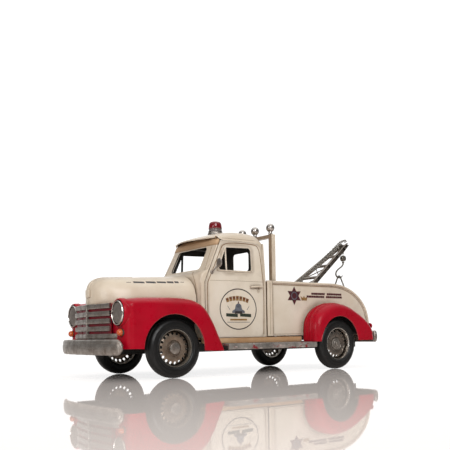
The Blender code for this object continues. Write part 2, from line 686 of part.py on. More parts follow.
def make_boom(paint):
    pewter = paint["pewter"]
    beams = [boom_bar("boom", (0, s * FOOT_SPREAD), (BOOM_LENGTH, s * TIP_SPREAD),
                      BEAM_HALF_WIDTH, BEAM_HALF_DEPTH, pewter) for s in (1, -1)]
    extra = [beams[1]]
    for along in (48.0, 82.0, 112.0, 137.0, 172.0):
        y = beam_y(along)
        rung = [boom_point(along + du, dn, s * y) for s in (-1, 1)
                for du, dn in ((-2, -1.4), (2, -1.4), (2, 1.4), (-2, 1.4))]
        extra.append(rings("rung", [rung[:4], rung[4:]], pewter))
    for s in (1, -1):
        foot = BOOM_FOOT + Vector((0, s * FOOT_SPREAD, 0))
        extra.append(pin("eye", foot - Vector((0, 2.3, 0)), foot + Vector((0, 2.3, 0)), 5.0, pewter))
    wheel = boom_point(PULLEY_AT)
    y = beam_y(PULLEY_AT)
    extra.append(pin("pin", wheel + Vector((0, -y, 0)), wheel + Vector((0, y, 0)), 1.3, pewter, sides=8))
    join(beams[0], *extra)
    drum = boom_point(DRUM_AT)
    reach = Vector((0, 60, 0))
    cut(beams[0], pin("bore", BOOM_FOOT - reach, BOOM_FOOT + reach, PIVOT_R + GAP, pewter),
        pin("bore", drum - reach, drum + reach, 1.7 + GAP, pewter))

    base = block("boom_base", (33.0, 57.0), (-37.0, 37.0), (BED_FLOOR_TOP + GAP, 70.2), pewter)
    ears = []
    for y in (25.8, -25.8, 34.2, -34.2):
        outline = rounded([(38.5, 69.5, 0), (51.5, 69.5, 0), (50.0, 81.5, 4), (40.0, 81.5, 4)])
        ears.append(prism("ear", outline, "y", y - 1.2, y + 1.2, pewter))
    for s in (1, -1):
        ears.append(pin("pivot", BOOM_FOOT + Vector((0, 25.4 * s, 0)),
                        BOOM_FOOT + Vector((0, 36.4 * s, 0)), PIVOT_R, pewter))
    join(base, *ears)


def make_winch(paint):
    centre = boom_point(DRUM_AT)
    profile = [(0, -30.5), (1.7, -30.5), (1.7, -19.5), (9.0, -19.5), (9.0, -18.0), (6.0, -18.0),
               (6.0, 18.0), (9.0, 18.0), (9.0, 19.5), (1.7, 19.5), (1.7, 38.0), (0, 38.0)]
    drum = lathe("winch_drum", profile, "y", centre, 16, paint["steel"])
    end = centre + Vector((0, 0, 13.0))
    arm = block("arm", (centre.x - 1.8, centre.x + 1.8), (36.6, 38.6), (centre.z - 2.4, end.z + 2.4),
                paint["steel"])
    knob = pin("knob", end + Vector((0, 38.0, 0)), end + Vector((0, 45.0, 0)), 2.0, paint["steel"])
    join(drum, arm, knob)
    return centre


def make_rigging(paint):
    wheel = boom_point(PULLEY_AT)
    lathe("tip_pulley", [(1.65, -2.3), (5.3, -2.3), (5.3, -1.6), (PULLEY_R, -1.5), (PULLEY_R, 1.5),
                         (5.3, 1.6), (5.3, 2.3), (1.65, 2.3)], "y", wheel, 16, paint["steel"])
    route = [boom_point(DRUM_AT, 6.0 + GAP + CHAIN_R)]
    start = math.atan2(ABOVE.z, ABOVE.x)
    for k in range(7):
        angle = start + (math.pi - start) * k / 6
        route.append(wheel + Vector((math.cos(angle), 0, math.sin(angle))) * CHAIN_OFFSET)
    sweep("boom_chain", route, circle(CHAIN_R, 8), paint["steel"], across=(0, 1, 0))
    hang = wheel + Vector((-CHAIN_OFFSET, 0, 0))
    pin("hook_chain", hang - Vector((0, 0, CHAIN_DROP)), (hang.x, 0, BLOCK_Z + BLOCK_R + GAP), CHAIN_R,
        paint["steel"], sides=8)
    lathe("hook_block", [(0, -3.0), (BLOCK_R, -3.0), (BLOCK_R, -1.4), (3.2, -1.2), (3.2, 1.2),
                         (BLOCK_R, 1.4), (BLOCK_R, 3.0), (0, 3.0)], "y", (hang.x, 0, BLOCK_Z), 16,
          paint["steel"])
    shank = BLOCK_Z - BLOCK_R - GAP
    bend = [(0, 0), (0.3, -3.6), (3.4, -7.2), (10.5, -11.6), (14.6, -15.6), (15.6, -19.2),
            (13.6, -22.4), (9.2, -23.9), (4.6, -22.8), (1.8, -20.4)]
    route = smooth_path([(hang.x + x, 0, shank + z) for x, z in bend], 2)
    sweep("tow_hook", route, circle(WIRE_R, 8), paint["steel"], across=(0, 1, 0))
    bowl = Vector((hang.x + 9.2, 0, shank - 23.9))
    make_link(bowl, paint["steel"])
    return wheel, hang, shank, bowl


def make_link(bowl, material):
    """Triangular link hanging in the hook, lying across the truck."""
    top = bowl.z + 2 * WIRE_R + GAP
    corners = rounded([(0, top + 3.7, 2.9), (10.8, top - 18.6, 2.4), (-10.8, top - 18.6, 2.4)])
    loops = []
    count = len(corners)
    for i, point in enumerate(corners):
        ahead = (corners[(i + 1) % count] - corners[i - 1]).normalized()
        out = Vector((0, ahead.y, -ahead.x))
        spot = Vector((bowl.x, point.x, point.y))
        loops.append([spot + out * a + Vector((b, 0, 0)) for a, b in circle(WIRE_R, 6)])
    vertices = [v for loop in loops for v in loop]
    faces = []
    for i in range(count):
        for k in range(6):
            j, n = (i + 1) % count, (k + 1) % 6
            faces.append((i * 6 + k, i * 6 + n, j * 6 + n, j * 6 + k))
    solid("tow_link", vertices, faces, material, 40)


# ---------------------------------------------------------------- assembly

def pivot(item, point):
    """Move the object's origin onto its joint, leaving the shape where it is."""
    point = Vector(point) * MM
    item.data.transform(item.matrix_basis.Translation(-point))
    item.location = point


def main():
    clear_scene()
    paint = {
        "ivory": finish("ivory_paint", (0.72, 0.65, 0.53), 0.38),
        "red": finish("crimson_paint", (0.42, 0.006, 0.025), 0.32),
        "pewter": finish("worn_pewter", (0.34, 0.30, 0.27), 0.38, 0.9),
        "steel": finish("dull_steel", (0.30, 0.28, 0.25), 0.35, 0.9),
        "chrome": finish("polished_chrome", (0.75, 0.73, 0.70), 0.12, 1.0),
        "bronze": finish("bronze_rim", (0.22, 0.17, 0.13), 0.38, 0.9),
        "tyre": finish("tyre_rubber", (0.025, 0.025, 0.027), 0.55),
        "black": finish("black_frame", (0.03, 0.03, 0.03), 0.5, 0.3),
        "tan": finish("tan_paint", (0.52, 0.34, 0.18), 0.5),
        "lens": finish("red_lens", (0.45, 0.005, 0.015), 0.15),
        "amber": finish("amber_lens", (0.80, 0.18, 0.02), 0.2),
        "leather": finish("dark_leather", (0.06, 0.04, 0.03), 0.5),
    }
    make_chassis(paint)
    make_bumpers(paint)
    make_hood(paint)
    make_grille(paint)
    make_fenders(paint)
    make_cowl(paint)
    make_cab_sides(paint)
    make_cab_rear(paint)
    make_roof(paint)
    make_interior(paint)
    make_mirror(paint)
    make_rack(paint)
    make_bed(paint)
    make_boom(paint)
    drum_centre = make_winch(paint)
    wheel, hang, shank, bowl = make_rigging(paint)

    pivots = {"boom": BOOM_FOOT, "boom_chain": BOOM_FOOT, "winch_drum": drum_centre,
              "tip_pulley": wheel, "hook_chain": hang, "hook_block": hang,
              "tow_hook": (hang.x, 0, shank),
              "tow_link": bowl}
    for name, x, track, side in (("front_left", WHEELBASE, FRONT_TRACK, 1),
                                 ("front_right", WHEELBASE, FRONT_TRACK, -1),
                                 ("rear_left", 0.0, REAR_TRACK, 1),
                                 ("rear_right", 0.0, REAR_TRACK, -1)):
        tyre, rim, centre = make_wheel(name, x, track, side, paint)
        pivots[tyre.name] = centre
        pivots[rim.name] = centre
    for name, point in pivots.items():
        pivot(bpy.data.objects[name], point)

    datum = bpy.data.objects.new("truck_datum", None)
    bpy.context.scene.collection.objects.link(datum)
    datum.location = (REAR_AXLE_X * MM, 0, 0)
    for item in bpy.data.objects:
        if item is not datum:
            item.parent = datum


main()
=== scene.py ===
import json
import math
import random

import bmesh
import bpy
from mathutils import Matrix, Vector
from mathutils.bvhtree import BVHTree


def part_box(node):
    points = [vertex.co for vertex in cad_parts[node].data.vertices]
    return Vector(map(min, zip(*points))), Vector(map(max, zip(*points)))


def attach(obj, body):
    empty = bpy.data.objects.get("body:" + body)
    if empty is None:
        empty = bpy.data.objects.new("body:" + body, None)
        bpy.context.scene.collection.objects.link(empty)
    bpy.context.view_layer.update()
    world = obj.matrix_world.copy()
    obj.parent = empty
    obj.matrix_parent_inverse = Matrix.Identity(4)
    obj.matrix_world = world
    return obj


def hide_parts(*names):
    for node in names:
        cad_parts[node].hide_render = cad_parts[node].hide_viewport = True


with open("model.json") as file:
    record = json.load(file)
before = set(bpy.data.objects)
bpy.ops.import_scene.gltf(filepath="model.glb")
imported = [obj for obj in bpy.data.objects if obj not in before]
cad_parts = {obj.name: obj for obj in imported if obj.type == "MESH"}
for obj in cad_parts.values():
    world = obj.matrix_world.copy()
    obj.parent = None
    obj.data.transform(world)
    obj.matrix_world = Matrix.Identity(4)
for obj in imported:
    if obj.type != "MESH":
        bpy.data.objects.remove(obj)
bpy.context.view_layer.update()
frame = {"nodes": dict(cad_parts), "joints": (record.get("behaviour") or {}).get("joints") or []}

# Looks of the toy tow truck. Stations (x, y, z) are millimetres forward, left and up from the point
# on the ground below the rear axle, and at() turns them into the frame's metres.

MM = 0.001
JOINTS = {joint["name"]: joint for joint in frame["joints"]}
REAR_AXLE = JOINTS["roll_rear_left"]["pos_m"][0]
SIDES = ((1, "left"), (-1, "right"))


def at(x, y, z):
    return Vector((REAR_AXLE + x * MM, y * MM, z * MM))


def station(point):
    """Millimetre station of a point of the frame."""
    return Vector(((point[0] - REAR_AXLE) / MM, point[1] / MM, point[2] / MM))


def span(node):
    """Lowest and highest station of a CAD node."""
    low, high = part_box(node)
    return station(low), station(high)


def axis_of(node):
    """Centre of a CAD node, brought to x = 0: a lengthwise axis to turn its shape around."""
    low, high = span(node)
    return 0, (low.y + high.y) / 2, (low.z + high.z) / 2


def joint_station(name):
    return station(JOINTS[name]["pos_m"])


# Driving sizes; most are read from the frame
WHEELBASE = joint_station("roll_front_left").x
AXLE_Z = joint_station("roll_front_left").z
FRONT_TRACK = joint_station("roll_front_left").y
REAR_TRACK = joint_station("roll_rear_left").y
FOOT = joint_station("boom_lift")
DRUM = joint_station("winch_turn")
WHEEL = joint_station("pulley_turn")
HANG = joint_station("hoist_swing")
SHANK = joint_station("hook_swivel")
BOWL = joint_station("link_swing")
ALONG = (WHEEL - FOOT).normalized()
ABOVE = Vector((ALONG.z, 0, -ALONG.x))
BODY_HALF = span("cab_side_left")[1].y
BELT_Z = 108.0              # the cab sides lean inward above it
TUMBLEHOME = 0.075
PILLAR_LEAN = 0.5
EAVES_Z = span("cab_side_left")[1].z
HOOD_REAR = span("hood")[0].x
HOOD_NOSE = span("hood")[1].x - 2.6
RAIL_Z = 111.6
BED_TOP = span("bed_floor")[1].z
BED_HALF = 50.4             # outer face of the bed walls
BED_FOOT = 44.2
BOOM_TIP = 170.4            # how far the beams reach past the foot pin
RUNGS = (48.0, 82.0, 112.0, 137.0, 166.4)
LINK = (3.0, 0.55, 1.55)    # pitch, wire radius and half width of the hoist chain
BACKDROP = 1.15             # brightness of the white studio
ROOM_LIGHT = 0.16           # what glossy surfaces see on the viewer's side
FILL_LIGHT = 0.52           # what matt surfaces get from all round
VIEW = Vector((-0.588, -0.809, 0))


# ------------------------------------------------------------------ materials

def shader(name, colour, roughness, metallic=0.0, **sockets):
    """New node material; returns it with its tree and its Principled shader."""
    made = bpy.data.materials.new(name)
    made.use_nodes = True
    tree = made.node_tree
    surface = tree.nodes["Principled BSDF"]
    surface.inputs["Base Color"].default_value = (*colour, 1)
    surface.inputs["Roughness"].default_value = roughness
    surface.inputs["Metallic"].default_value = metallic
    for socket, value in sockets.items():
        surface.inputs[socket.replace("_", " ")].default_value = value
    return made, tree, surface


def feed(tree, socket, value):
    """Link an output to a socket, or set the socket's own value."""
    if isinstance(value, bpy.types.NodeSocket):
        tree.links.new(value, socket)
    else:
        socket.default_value = value


def add_node(tree, kind, **inputs):
    """New shader node, its inputs given by name with underscores for blanks."""
    made = tree.nodes.new("ShaderNode" + kind)
    for name, value in inputs.items():
        feed(tree, made.inputs[name.replace("_", " ")], value)
    return made


def where(tree, output="Object"):
    return add_node(tree, "TexCoord").outputs[output]


def split(tree, source):
    """The X, Y and Z outputs of a vector."""
    return add_node(tree, "SeparateXYZ", Vector=source).outputs


def noise(tree, scale, detail=3.0, roughness=0.6, stretch=None):
    """Noise texture in object space; its factor is the output."""
    source = where(tree)
    if stretch:
        source = add_node(tree, "Mapping", Scale=stretch, Vector=source).outputs["Vector"]
    return add_node(tree, "TexNoise", Scale=scale, Detail=detail, Roughness=roughness,
                    Vector=source).outputs["Fac"]


def remap(tree, source, low, high, to_low=0.0, to_high=1.0):
    """Clamped change of range."""
    return add_node(tree, "MapRange", Value=source, From_Min=low, From_Max=high, To_Min=to_low,
                    To_Max=to_high).outputs["Result"]


def math_node(tree, operation, a, b=0.0, clamp=False):
    node = add_node(tree, "Math")
    node.operation = operation
    node.use_clamp = clamp
    feed(tree, node.inputs[0], a)
    feed(tree, node.inputs[1], b)
    return node.outputs["Value"]


def vector_node(tree, operation, *values):
    node = add_node(tree, "VectorMath")
    node.operation = operation
    for socket, value in zip(node.inputs, values):
        feed(tree, socket, value)
    return node.outputs["Value"]


def times(tree, a, b):
    return math_node(tree, "MULTIPLY", a, b, True)


def most(tree, a, b):
    return math_node(tree, "MAXIMUM", a, b, True)


def blend_colour(tree, factor, a, b):
    """Mix of two colours; each is a linked output or a plain colour."""
    node = add_node(tree, "Mix", Factor=factor)
    node.data_type = "RGBA"
    for socket, value in zip(node.inputs[6:8], (a, b)):
        feed(tree, socket, (*value, 1) if isinstance(value, tuple) else value)
    return node.outputs[2]


def crevices(tree, reach, low, high):
    """1 in grooves and corners closer together than the reach, 0 on open surface."""
    node = add_node(tree, "AmbientOcclusion", Distance=reach)
    node.samples = 8
    return remap(tree, node.outputs["AO"], low, high, 1.0, 0.0)


def worn_edges(tree, radius):
    """1 along sharp edges, where the rounded normal parts from the true one."""
    bevel = add_node(tree, "Bevel", Radius=radius)
    bevel.samples = 6
    true = add_node(tree, "NewGeometry").outputs["Normal"]
    return remap(tree, vector_node(tree, "DOT_PRODUCT", bevel.outputs["Normal"], true), 0.84, 0.98, 1.0, 0.0)


def bump(tree, surface, height, strength, distance):
    node = add_node(tree, "Bump", Strength=strength, Distance=distance, Height=height)
    tree.links.new(node.outputs["Normal"], surface.inputs["Normal"])


def finish(made, tree, surface, colour, wear, roughness, grain):
    """Link a finish's colour, its roughness between two values, and its grain."""
    tree.links.new(colour, surface.inputs["Base Color"])
    tree.links.new(remap(tree, wear, 0.3, 0.7, *roughness), surface.inputs["Roughness"])
    bump(tree, surface, *grain)
    return made


def outline_nearness(tree, limits, radius, width):
    """Nearness to the outline of a rounded box (low and high x, low and high z), seen from the side."""
    spot = split(tree, where(tree))
    low, high = at(limits[0], 0, limits[2]), at(limits[1], 0, limits[3])

    def plain(operation, a, b=0.0):
        return math_node(tree, operation, a, b)

    past = []
    for axis in (0, 2):
        offset = plain("ABSOLUTE", plain("SUBTRACT", spot[axis], (low[axis] + high[axis]) / 2))
        past.append(plain("SUBTRACT", offset, (high[axis] - low[axis]) / 2 - radius * MM))
    outer = [plain("POWER", plain("MAXIMUM", p, 0.0), 2.0) for p in past]
    outside = plain("SQRT", plain("ADD", outer[0], outer[1]))
    inside = plain("MINIMUM", plain("MAXIMUM", past[0], past[1]), 0.0)
    distance = plain("ABSOLUTE", plain("SUBTRACT", plain("ADD", outside, inside), radius * MM))
    return remap(tree, distance, 0.0, width * MM, 1.0, 0.0)


def facing_front(tree, low, high):
    """0 to 1 as a face turns towards the front of the truck, between two values of its normal's x."""
    normal = add_node(tree, "NewGeometry").outputs["Normal"]
    return remap(tree, split(tree, normal)["X"], low, high)


def antiqued(name, colour, shade, wash_and_shade_tone, roughness, reach=0.006, strength=0.85, edge=None, coat=0.0,
             grain=0.08, dark_bands=(), front_shade=0.0, corners=0.0, clouds=0.0, shine=0.5):
    """Old paint: mottled colour, brown wash and painted shade in grooves and corners, darker bands along
    frame outlines, painted shade on slanting and front-facing faces, rubbed edges.
    """
    made, tree, surface = shader(name, colour, roughness, Coat_Weight=coat, Coat_Roughness=0.15,
                                 Specular_IOR_Level=shine)
    mottle = remap(tree, noise(tree, 26.0, 4.0), 0.35, 0.7)
    base = blend_colour(tree, mottle, colour, shade)
    if edge:
        rubbed = times(tree, worn_edges(tree, 0.0008), remap(tree, noise(tree, 160.0), 0.42, 0.6))
        base = blend_colour(tree, rubbed, base, edge)
    patchy = remap(tree, noise(tree, 70.0, 4.0), 0.25, 0.62, 0.45, 1.0)
    # brown wash and painted shade: darker in grooves and in corners closer together than the reach
    wash_and_shade = times(tree, times(tree, crevices(tree, reach, 0.45, 0.9), patchy), strength)
    # darker bands along the given frame outlines
    for limits, radius, width, depth in dark_bands:
        patchy = remap(tree, noise(tree, 45.0, 4.0), 0.3, 0.65, 0.25 * depth, depth)
        wash_and_shade = most(tree, wash_and_shade, times(tree, outline_nearness(tree, limits, radius, width), patchy))
    if clouds:
        drift = remap(tree, noise(tree, 17.0, 6.0, 0.68), 0.50, 0.74, 0.0, clouds)
        patchy = remap(tree, noise(tree, 150.0, 4.0), 0.25, 0.6, 0.5, 1.0)
        wash_and_shade = most(tree, wash_and_shade, times(tree, drift, patchy))
    # painted shade: faces turned halfway between the front and the side are darkened
    if corners:
        slanting = times(tree, facing_front(tree, 0.2, 0.55), facing_front(tree, 0.97, 0.8))
        patchy = remap(tree, noise(tree, 40.0, 4.0), 0.3, 0.62, corners * 0.4, corners)
        wash_and_shade = most(tree, wash_and_shade, times(tree, slanting, patchy))
    # painted shade: faces turned towards the front are darkened
    if front_shade:
        patchy = remap(tree, noise(tree, 30.0, 4.0), 0.3, 0.6, front_shade * 0.5, front_shade)
        wash_and_shade = most(tree, wash_and_shade, times(tree, facing_front(tree, 0.5, 0.8), patchy))
    return finish(made, tree, surface, blend_colour(tree, wash_and_shade, base, wash_and_shade_tone), noise(tree, 90.0),
                  (roughness - 0.07, roughness + 0.12), (noise(tree, 420.0), grain, 0.0004))


def metal(name, colour, dark, roughness, bright=None, metallic=0.9):
    """Tarnished metal: cloudy colour, fine scratches, dark crevices and polished edges."""
    made, tree, surface = shader(name, colour, roughness, metallic)
    base = blend_colour(tree, remap(tree, noise(tree, 120.0, 5.0, 0.7), 0.38, 0.66), colour, dark)
    if bright:
        base = blend_colour(tree, worn_edges(tree, 0.0006), base, bright)
    base = blend_colour(tree, crevices(tree, 0.003, 0.35, 0.85), base, tuple(c * 0.35 for c in dark))
    return finish(made, tree, surface, base, noise(tree, 240.0, 4.0), (roughness - 0.1, roughness + 0.16),
                  (noise(tree, 500.0, 4.0, 0.7), 0.25, 0.0003))


def flat_finish(name, colour, shade, roughness, scale=200.0, strength=0.2, **sockets):
    """Plain painted, printed or moulded surface with a fine grain."""
    made, tree, surface = shader(name, colour, roughness, **sockets)
    mottled = blend_colour(tree, remap(tree, noise(tree, scale), 0.35, 0.68), colour, shade)
    return finish(made, tree, surface, mottled, noise(tree, scale * 1.7),
                  (roughness - 0.05, roughness + 0.1), (noise(tree, scale * 3), strength, 0.0003))


def flaked(name, metal_tone, paint, pale):
    """Worn metal with flakes of old paint and pale scuffs left on it."""
    made, tree, surface = shader(name, metal_tone, 0.4, 0.6)
    base = blend_colour(tree, remap(tree, noise(tree, 60.0, 5.0, 0.7), 0.35, 0.65), metal_tone,
                        tuple(c * 0.45 for c in metal_tone))
    base = blend_colour(tree, remap(tree, noise(tree, 75.0, 5.0, 0.75, (1.0, 1.0, 2.0)), 0.56, 0.62), base,
                        paint)
    base = blend_colour(tree, remap(tree, noise(tree, 110.0, 5.0, 0.75, (0.6, 1.0, 1.6)), 0.56, 0.66), base,
                        pale)
    return finish(made, tree, surface, base, noise(tree, 200.0), (0.28, 0.6),
                  (noise(tree, 260.0, 4.0, 0.7), 0.3, 0.0004))


def make_lens(name, red, clear, height):
    """Moulded lens, red above a height in the frame and smoky clear below it."""
    made, tree, surface = shader(name, red, 0.12, Coat_Weight=0.6, Coat_Roughness=0.04,
                                 Transmission_Weight=0.25, IOR=1.45)
    wave = remap(tree, noise(tree, 90.0), 0.3, 0.7, -0.0006, 0.0006)
    level = math_node(tree, "ADD", split(tree, where(tree))["Z"], wave)
    upper = remap(tree, level, height - 0.0006, height + 0.0006)
    tree.links.new(blend_colour(tree, upper, clear, red), surface.inputs["Base Color"])
    bump(tree, surface, noise(tree, 300.0), 0.1, 0.0004)
    return made


# brown for the wash and for the painted shade in grooves, corners and shaded faces
BROWN_WASH_AND_SHADE = (0.16, 0.085, 0.035)
IVORY_TONES = ((0.665, 0.575, 0.46), (0.59, 0.49, 0.37), BROWN_WASH_AND_SHADE, 0.36)
# painted light: a lighter copy of the ivory tones for the cab and bed sides, which stand lit brighter than
# the tops
LIT_SIDE_TONES = ((0.71, 0.63, 0.525), (0.63, 0.54, 0.42), BROWN_WASH_AND_SHADE, 0.36)
# wear and painted shade: the reach and strength set how far the painted corner shade spreads
IVORY_WEAR_AND_SHADE = {"reach": 0.012, "edge": (0.80, 0.72, 0.60), "coat": 0.25, "clouds": 0.32, "strength": 0.95}
IVORY = antiqued("ivory_paint", *IVORY_TONES, **IVORY_WEAR_AND_SHADE)
# darker bands along the door and window outlines
LIT_IVORY_CAB = antiqued("lit_ivory_cab_side", *LIT_SIDE_TONES, **IVORY_WEAR_AND_SHADE,
                     dark_bands=(((106.0, 190.0, 42.0, 156.5), 8.0, 3.6, 0.58),
                             ((121.5, 168.0, 119.0, 154.0), 7.0, 4.0, 0.62)))
# the cowl's pillars take painted shade on their slanting faces
IVORY_COWL = antiqued("ivory_cowl", *IVORY_TONES, **IVORY_WEAR_AND_SHADE, corners=0.5)
# the rack's front-facing faces take painted shade
IVORY_RACK = antiqued("ivory_rack", *IVORY_TONES, **IVORY_WEAR_AND_SHADE, front_shade=0.78)
# a darker band along the hood's lower edge
IVORY_HOOD = antiqued("ivory_hood", *IVORY_TONES, **IVORY_WEAR_AND_SHADE,
                      dark_bands=(((-400.0, 800.0, -300.0, 80.0), 1.0, 8.0, 0.5),))
# a darker band below the bead and along the front seam
LIT_IVORY_BED = antiqued("lit_ivory_bed_side", *LIT_SIDE_TONES, **IVORY_WEAR_AND_SHADE,
                     dark_bands=(((-120.0, 92.0, 30.0, 109.5), 2.0, 4.0, 0.55),))
# painted shade: ivory darkened to brown for the band and the roof underside beneath the visor
VISOR_SHADE = antiqued("visor_shade_ivory", (0.50, 0.33, 0.19), (0.42, 0.26, 0.14), (0.10, 0.05, 0.02), 0.45)
WASH = flat_finish("brown_wash", (0.20, 0.115, 0.055), (0.30, 0.19, 0.10), 0.6)
RED = antiqued("crimson_paint", (0.385, 0.0004, 0.013), (0.31, 0.0003, 0.009), (0.05, 0.001, 0.003), 0.30,
               edge=(0.52, 0.08, 0.08), coat=0.06, grain=0.04, shine=0.16)
WORN_RED = antiqued("worn_red_edge", (0.34, 0.004, 0.018), (0.46, 0.12, 0.11), (0.06, 0.001, 0.004), 0.35,
                    grain=0.2)
DARK_RED = antiqued("grille_red", (0.30, 0.003, 0.016), (0.20, 0.002, 0.012), (0.05, 0.001, 0.003), 0.35,
                    strength=0.5)
# painted shade: near-black for the insides of the body sheets and the cut faces of openings
INNER_SHADE = flat_finish("inner_shade", (0.060, 0.055, 0.045), (0.035, 0.032, 0.028), 0.6, 90.0)
BLACK = flat_finish("black_frame", (0.018, 0.018, 0.018), (0.035, 0.032, 0.028), 0.45)
PEWTER = metal("worn_pewter", (0.40, 0.365, 0.33), (0.21, 0.175, 0.15), 0.33, bright=(0.60, 0.56, 0.51))
LAMP = metal("lamp_pewter", (0.26, 0.225, 0.20), (0.18, 0.155, 0.14), 0.45, bright=(0.3, 0.28, 0.25),
             metallic=0.7)
STEEL = metal("dull_steel", (0.28, 0.26, 0.23), (0.13, 0.11, 0.08), 0.32, bright=(0.52, 0.49, 0.44))
BOOM_METAL = metal("boom_metal", (0.33, 0.29, 0.25), (0.18, 0.135, 0.10), 0.36, bright=(0.55, 0.50, 0.44))
BRIGHT = metal("polished_edge", (0.72, 0.69, 0.64), (0.50, 0.46, 0.42), 0.16, metallic=1.0)
CHROME = metal("polished_chrome", (0.52, 0.49, 0.46), (0.36, 0.32, 0.29), 0.14, metallic=1.0)
BRONZE = metal("bronze_rim", (0.37, 0.29, 0.225), (0.20, 0.14, 0.10), 0.34, bright=(0.62, 0.54, 0.46))
RIM_PEWTER = metal("pewter_rim", (0.27, 0.235, 0.205), (0.13, 0.10, 0.08), 0.26, bright=(0.62, 0.58, 0.52))
TYRE = flat_finish("tyre_rubber", (0.004, 0.004, 0.004), (0.008, 0.0075, 0.007), 0.34, 160.0, 0.15,
                   Specular_IOR_Level=0.36)
TAN = antiqued("sill_tan", (0.62, 0.41, 0.23), (0.46, 0.25, 0.11), (0.09, 0.04, 0.015), 0.5,
               edge=(0.72, 0.55, 0.38))
STEP = flaked("worn_step", (0.40, 0.365, 0.33), (0.30, 0.02, 0.03), (0.68, 0.60, 0.55))
LENS_RED = make_lens("red_lens", (0.19, 0.0005, 0.006), (0.15, 0.125, 0.115), 0.1800)
LENS_TAIL = flat_finish("tail_lens", (0.33, 0.003, 0.010), (0.22, 0.002, 0.008), 0.15, 90.0, 0.1,
                        Coat_Weight=0.7)
AMBER = flat_finish("amber_lens", (0.72, 0.13, 0.012), (0.55, 0.07, 0.008), 0.16, 90.0, 0.1,
                    Coat_Weight=0.7, Transmission_Weight=0.2)
SEAT = flat_finish("dark_seat", (0.045, 0.032, 0.024), (0.025, 0.018, 0.014), 0.5, 150.0, 0.4)
INK = flat_finish("ink_black", (0.012, 0.010, 0.012), (0.03, 0.02, 0.02), 0.45)
MAROON = flat_finish("ink_maroon", (0.085, 0.006, 0.012), (0.035, 0.003, 0.008), 0.45)
GOLD = flat_finish("ink_gold", (0.30, 0.17, 0.05), (0.20, 0.10, 0.03), 0.45)
RUST = flat_finish("ink_rust", (0.15, 0.045, 0.015), (0.09, 0.02, 0.01), 0.45)
GREEN = flat_finish("ink_green", (0.012, 0.022, 0.010), (0.02, 0.03, 0.02), 0.45)
SLATE = flat_finish("ink_slate", (0.14, 0.15, 0.17), (0.05, 0.05, 0.07), 0.45)


# ------------------------------------------------------------------ outlines

def smooth_path(points, steps):
    """Catmull-Rom curve through the points, with the given steps in each stretch."""
    knots = [Vector(p) for p in points]
    knots = [2 * knots[0] - knots[1]] + knots + [2 * knots[-1] - knots[-2]]
    path = []
    for i in range(1, len(knots) - 2):
        a, b, c, d = knots[i - 1:i + 3]
        for k in range(steps):
            t = k / steps
            path.append(0.5 * (2 * b + (c - a) * t + (2 * a - 5 * b + 4 * c - d) * t ** 2
                               + (3 * b - a - 3 * c + d) * t ** 3))
    path.append(knots[-2])
    return path


def rounded(corners, steps=8):
    """Closed outline whose corners (u, v, radius) are turned into arcs."""
    outline = []
    count = len(corners)
    for i, (u, v, radius) in enumerate(corners):
        corner = Vector((u, v))
        before = (Vector(corners[i - 1][:2]) - corner).normalized()
        after = (Vector(corners[(i + 1) % count][:2]) - corner).normalized()
        if radius == 0:
            outline.append(corner)
            continue
        half = before.angle(after) / 2
        centre = corner + (before + after).normalized() * (radius / math.sin(half))
        start = corner + before * (radius / math.tan(half)) - centre
        end = corner + after * (radius / math.tan(half)) - centre
        for k in range(steps + 1):
            outline.append(centre + start.slerp(end, k / steps, start).normalized() * radius)
    return outline


def box(low_u, low_v, high_u, high_v):
    return [(low_u, low_v), (high_u, low_v), (high_u, high_v), (low_u, high_v)]


def block(low_u, low_v, high_u, high_v, radius, steps=8):
    """Rectangle with rounded corners."""
    return rounded([(u, v, radius) for u, v in box(low_u, low_v, high_u, high_v)], steps)


def superellipse(power, count):
    """Evenly spaced points of the upper half of a unit superellipse, from +u to -u."""
    fine = []
    for k in range(361):
        c, s = math.cos(math.pi * k / 360), math.sin(math.pi * k / 360)
        fine.append(Vector((math.copysign(abs(c) ** (2 / power), c), abs(s) ** (2 / power))))
    reach = [0.0]
    for a, b in zip(fine, fine[1:]):
        reach.append(reach[-1] + (b - a).length)
    points = []
    i = 0
    for k in range(count):
        goal = reach[-1] * k / (count - 1)
        while i < 359 and reach[i + 1] < goal:
            i += 1
        t = (goal - reach[i]) / (reach[i + 1] - reach[i])
        points.append(fine[i].lerp(fine[i + 1], t))
    return points


def arc(centre, radius, start, end, steps):
    """Points of an arc in a plane, angles in degrees."""
    return [(centre[0] + radius * math.cos(math.radians(start + (end - start) * k / steps)),
             centre[1] + radius * math.sin(math.radians(start + (end - start) * k / steps)))
            for k in range(steps + 1)]


def circle(radius, sides):
    return [(radius * math.cos(2 * math.pi * k / sides), radius * math.sin(2 * math.pi * k / sides))
            for k in range(sides)]


# ------------------------------------------------------------------ meshes

def solid(name, vertices, faces, material, smooth=40):
    """Mesh object from stations, with its faces turned outward."""
    mesh = bpy.data.meshes.new(name)
    mesh.from_pydata([at(*v) for v in vertices], [], faces)
    bm = bmesh.new()
    bm.from_mesh(mesh)
    bmesh.ops.recalc_face_normals(bm, faces=bm.faces)
    bm.to_mesh(mesh)
    bm.free()
    mesh.materials.append(material)
    item = bpy.data.objects.new(name, mesh)
    bpy.context.scene.collection.objects.link(item)
    mesh.shade_smooth()
    mesh.set_sharp_from_angle(angle=math.radians(smooth))
    return item


